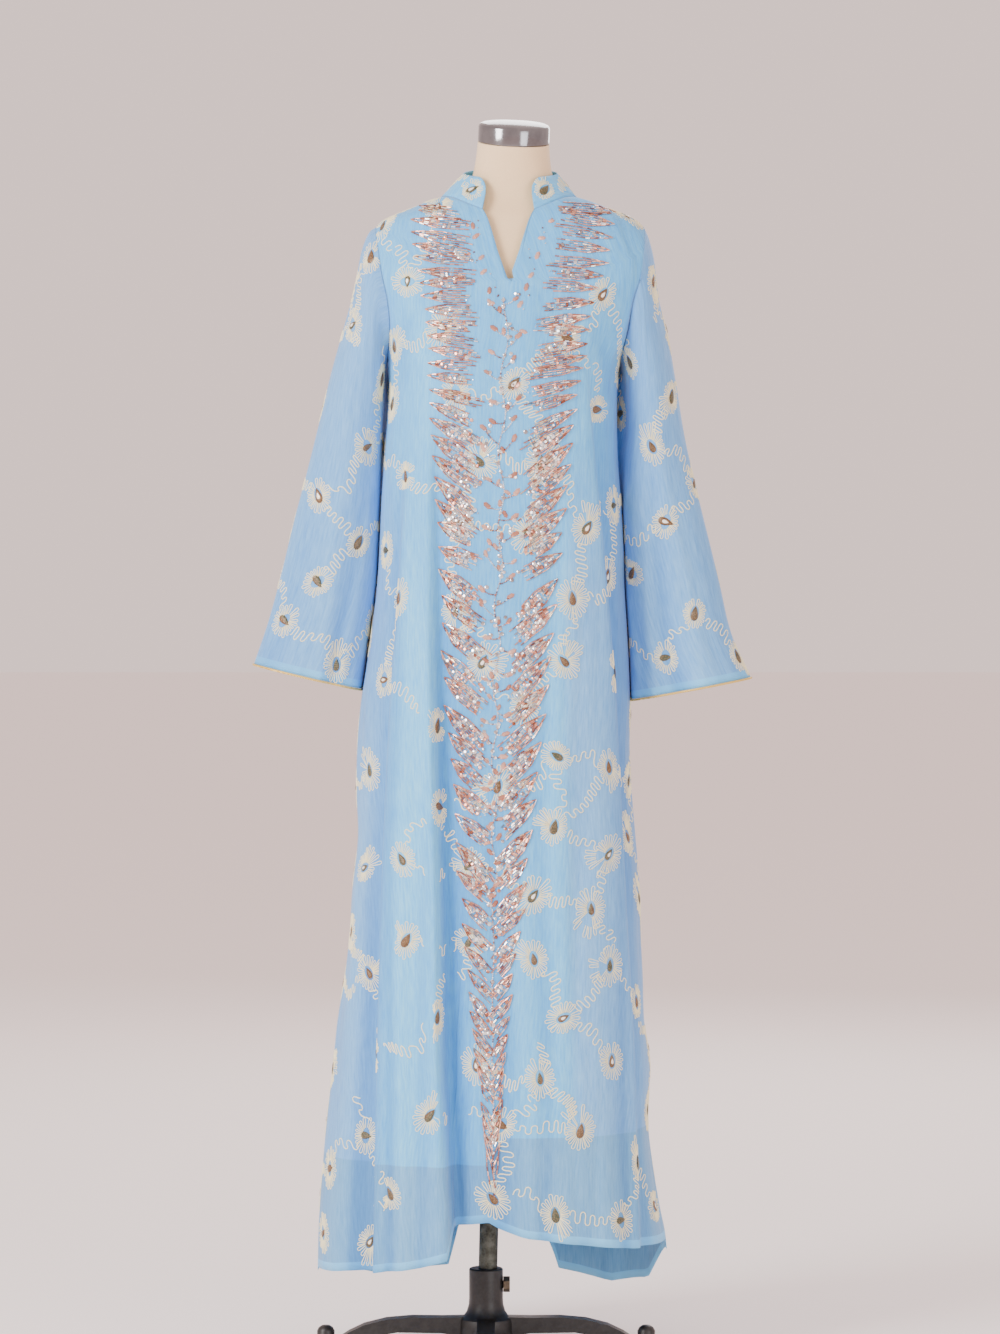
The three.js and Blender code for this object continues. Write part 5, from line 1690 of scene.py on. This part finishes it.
# %% [markdown]
# Each kind that was stitched is now grown as one piece, with its number of sides, how wide its
# top is and its finish.

# %% Growing the beads
BEAD_PIECES = [
    ("bugles_rose_gold", "rose", 6, 1.0, rose_gold),
    ("bugles_silver", "silver", 6, 1.0, silver),
    ("bugles_champagne", "champagne", 6, 1.0, champagne),
    ("sequins_silver", "sequin", 9, 0.55, bright),
    ("sequins_rose_gold", "rose_sequin", 9, 0.55, rose_gold),
    ("seed_beads_silver", "seed", 6, 0.6, pale_seed),
    ("seed_beads_rose_gold", "rose_seed", 6, 0.6, rose_gold),
    ("leaf_stones", "stone", 6, 0.45, rose_stone),
]
for name, kind, sides, top, finish in BEAD_PIECES:
    worn["front"].append(grow(name, stitched[kind], sides, top, finish))

# %% [markdown]
# ## The dress form
#
# The form has no limbs and no head: a padded torso under beige jersey, and a neck with a chrome
# cap. It is one body through level rings. The neck's top rings tilt forward a little.

# %% Form
LEAN = math.tan(math.radians(1.3))
FORM = table(["z", "half", "front", "back", "lean", "tilt"], [
    [795, 138, 98, 108, 0, 0], [860, 148, 104, 118, 0, 0], [950, 152, 106, 122, 0, 0],
    [1040, 140, 100, 112, 0, 0], [1110, 124, 94, 98, 0, 0], [1170, 116, 92, 90, 0, 0],
    [1230, 124, 100, 92, 0, 0], [1290, 137, 116, 97, 0, 0], [1340, 143.4, 122, 99.4, 0, 0],
    [1390, 146, 112, 99, 0, 0], [1440, 152, 99, 97, 0, 0], [1480, 158, 89, 91, 0, 0],
    [1505, 160, 81, 85, 0, 0], [1522, 153, 74, 79, 0, 0], [1534, 136, 68, 73, 0, 0],
    [1543, 116, 61, 67, 0, 0], [1551.6, 96, 55, 61, 0, 0], [1560.5, 76, 50, 56, -1, 1],
    [1573, 61, 46, 52, -3, 3], [1590, 54, 44, 49, -5, 6], [1612, 50, 44, 46, -8, 9],
    [1634, 48, 46, 46, -11, 12],
])
FORM_AROUND = 96
FORM_LEVELS = np.concatenate([np.linspace(795, 1500, 60), np.linspace(1506, 1634, 44)])
NECK_TILT, NECK_ROLL = 12, 2.5


def jersey_material():
    material, tree, shader = start_material(
        "beige_jersey", Roughness=0.85, Sheen_Weight=0.3, Sheen_Roughness=0.5)
    knit = own_texture(tree, "ShaderNodeTexNoise", Scale=900.0, Detail=2.0)
    soil = own_texture(tree, "ShaderNodeTexNoise", Scale=9.0, Detail=3.0)
    plain = mix_colour(tree, soil.outputs["Fac"], colour(250, 216, 168), colour(255, 232, 192))
    flecked = mix_colour(tree, knit.outputs["Fac"], colour(236, 202, 156), plain)
    tree.links.new(flecked, shader.inputs["Base Color"])
    add_bump(tree, shader, knit.outputs["Fac"], 0.35, 0.0005)
    return material


def form_rings():
    turns, level = all_round(FORM_AROUND), FORM_LEVELS[:, None]
    deep = signed_power(np.sin(turns), 2 / FULLNESS)
    size = {name: smooth(FORM, "z", name, FORM_LEVELS)[:, None] for name in FORM if name != "z"}
    y = np.where(deep < 0, size["front"], size["back"]) * deep
    x = size["half"] * signed_power(np.cos(turns), 2 / FULLNESS)
    tilt = np.tan(np.radians(size["tilt"]))
    roll = np.tan(np.radians(NECK_ROLL * size["tilt"] / NECK_TILT))
    return np.stack([level * LEAN + x, size["lean"] + y, level + tilt * y - roll * x], axis=-1)


def closed_rings(rings):
    """Rings of points, with a flat fan at each end, as points and triangles."""
    ids = numbered(rings)
    quads = cells(closed_round(ids))
    faces = [*quads[:, [0, 1, 2]], *quads[:, [0, 2, 3]]]
    points = rings.reshape(-1, 3)
    for ring, flip in ((0, True), (-1, False)):
        hub = np.full(len(ids[ring]), len(points))
        points = np.append(points, [rings[ring].mean(axis=0)], axis=0)
        fan = np.stack([hub, ids[ring], np.roll(ids[ring], -1)], axis=-1)
        faces.extend(fan[:, ::-1] if flip else fan)
    return points, np.array(faces)


form_points, form_faces = closed_rings(form_rings())
form_mesh = mesh_of("torso_form", form_points, form_faces)
form_mesh.set_sharp_from_angle(angle=math.radians(50))
torso = add_object("torso_form", form_mesh, jersey_material(), GARMENT, "form_torso")
print("form", len(form_faces), "faces")

# %% [markdown]
# ## Metal and rubber of the stand
#
# These pieces have their right shape in the solids. A copy of each is merged, its flat facets
# are shaded round, and a bevel takes the sharpness off its edges, as casting and turning do.

# %% Metals
def mottled(name, dark, light, roughness, metallic, grain):
    material, tree, shader = start_material(name, Metallic=metallic)
    mottle = own_texture(tree, "ShaderNodeTexNoise", Scale=grain, Detail=6.0, Roughness=0.65)
    lighter = step_at(tree, mottle.outputs["Fac"], 0.35, 0.65)
    tint = mix_colour(tree, lighter, colour(*dark), colour(*light))
    tree.links.new(tint, shader.inputs["Base Color"])
    spread = node(tree, "ShaderNodeMapRange")
    spread.inputs["To Min"].default_value = roughness - 0.08
    spread.inputs["To Max"].default_value = roughness + 0.12
    tree.links.new(mottle.outputs["Fac"], spread.inputs["Value"])
    tree.links.new(spread.outputs["Result"], shader.inputs["Roughness"])
    add_bump(tree, shader, mottle.outputs["Fac"], 0.25, 0.0006)
    return material


galvanised = mottled("galvanised_pole", (58, 60, 53), (104, 107, 98), 0.5, 0.85, 90.0)
enamel = mottled("black_enamel", (16, 16, 17), (38, 37, 36), 0.42, 0.0, 140.0)
plated = mottled("polished_chrome", (120, 120, 124), (142, 142, 145), 0.12, 1.0, 30.0)
dull_steel = mottled("bolt_steel", (88, 78, 66), (128, 116, 98), 0.5, 0.8, 160.0)
rubber = mottled("pad_rubber", (24, 24, 24), (38, 38, 38), 0.8, 0.0, 300.0)
MERGED_WITHIN = 2e-5
FLAT_WITHIN, SHARP_FROM = math.radians(0.5), math.radians(38)


def refine(node_name, name, material, body, edge):
    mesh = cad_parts[node_name].data.copy()
    mesh.name = name
    mesh.materials.clear()
    shaped = bmesh.new()
    shaped.from_mesh(mesh)
    bmesh.ops.remove_doubles(shaped, verts=shaped.verts, dist=MERGED_WITHIN)
    bmesh.ops.dissolve_limit(shaped, angle_limit=FLAT_WITHIN, verts=shaped.verts,
                             edges=shaped.edges)
    shaped.to_mesh(mesh)
    shaped.free()
    mesh.shade_smooth()
    mesh.set_sharp_from_angle(angle=SHARP_FROM)
    piece = add_object(name, mesh, material, body, node_name)
    soften = piece.modifiers.new("eased_edges", "BEVEL")
    soften.width = edge / 1000
    soften.segments = 3
    soften.limit_method = "ANGLE"
    soften.angle_limit = SHARP_FROM
    print(name, len(mesh.polygons), "faces")


refine("stand_base", "cast_base", enamel, "stand", 2.2)
refine("pole", "stand_pole", galvanised, "pole", 1.0)
refine("clamp_screw", "clamp_bolt", dull_steel, "clamp_screw", 0.9)
refine("neck_cap", "chrome_neck_cap", plated, GARMENT, 0.5)
for leg in ("right", "back", "left", "front"):
    refine(f"pad_{leg}", f"rubber_pad_{leg}", rubber, "stand", 0.8)

# %% [markdown]
# ## Floor and light
#
# A plain pale floor and large soft lights, as in a small studio. The key light comes from the
# upper left, a weaker one from the right, and the world fills the shade.

# %% Studio
FLOOR_HALF = 40


def stage_floor():
    mesh = bpy.data.meshes.new("studio_floor")
    corners = [(x * FLOOR_HALF, y * FLOOR_HALF, 0) for x, y in ((-1, -1), (1, -1), (1, 1), (-1, 1))]
    mesh.from_pydata(corners, [], [(0, 1, 2, 3)])
    floor = bpy.data.objects.new("studio_floor", mesh)
    bpy.context.collection.objects.link(floor)
    material, _, shader = start_material("pale_floor", Roughness=0.8)
    shader.inputs["Base Color"].default_value = colour(253, 246, 244)
    mesh.materials.append(material)


def area_light(name, at, to, size, power, tint):
    data = bpy.data.lights.new(name, "AREA")
    data.shape = "RECTANGLE"
    data.size, data.size_y = size
    data.energy = power
    data.color = tint
    lamp = bpy.data.objects.new(name, data)
    bpy.context.collection.objects.link(lamp)
    lamp.location = at
    lamp.rotation_euler = (Vector(to) - Vector(at)).to_track_quat("-Z", "Y").to_euler()


stage_floor()
area_light("key_softbox", (-3.3, -2.9, 2.6), (0, 0, 0.9), (1.6, 2.6), 250, (1, 0.985, 0.965))
area_light("fill_softbox", (2.6, -3.9, 1.1), (0, 0, 0.7), (1.8, 2.0), 62, (0.97, 0.985, 1))
area_light("back_softbox", (0.8, 3.6, 3.0), (0, 0, 1.0), (2.4, 2.4), 80, (1, 1, 1))
world = bpy.data.worlds.new("studio_air")
bpy.context.scene.world = world
world.use_nodes = True
air = world.node_tree.nodes["Background"]
air.inputs["Color"].default_value = colour(249, 223, 217)
air.inputs["Strength"].default_value = 1.3

# %% [markdown]
# ## Telling which pieces are cloth
#
# Each cloth is printed with the size that it was cut to and the number of pieces sewn on it.

for piece, flat, held, area, key in cuts:
    print(piece.name, "cut", flat, "m, with", len(worn[key]) if key else 0, "pieces")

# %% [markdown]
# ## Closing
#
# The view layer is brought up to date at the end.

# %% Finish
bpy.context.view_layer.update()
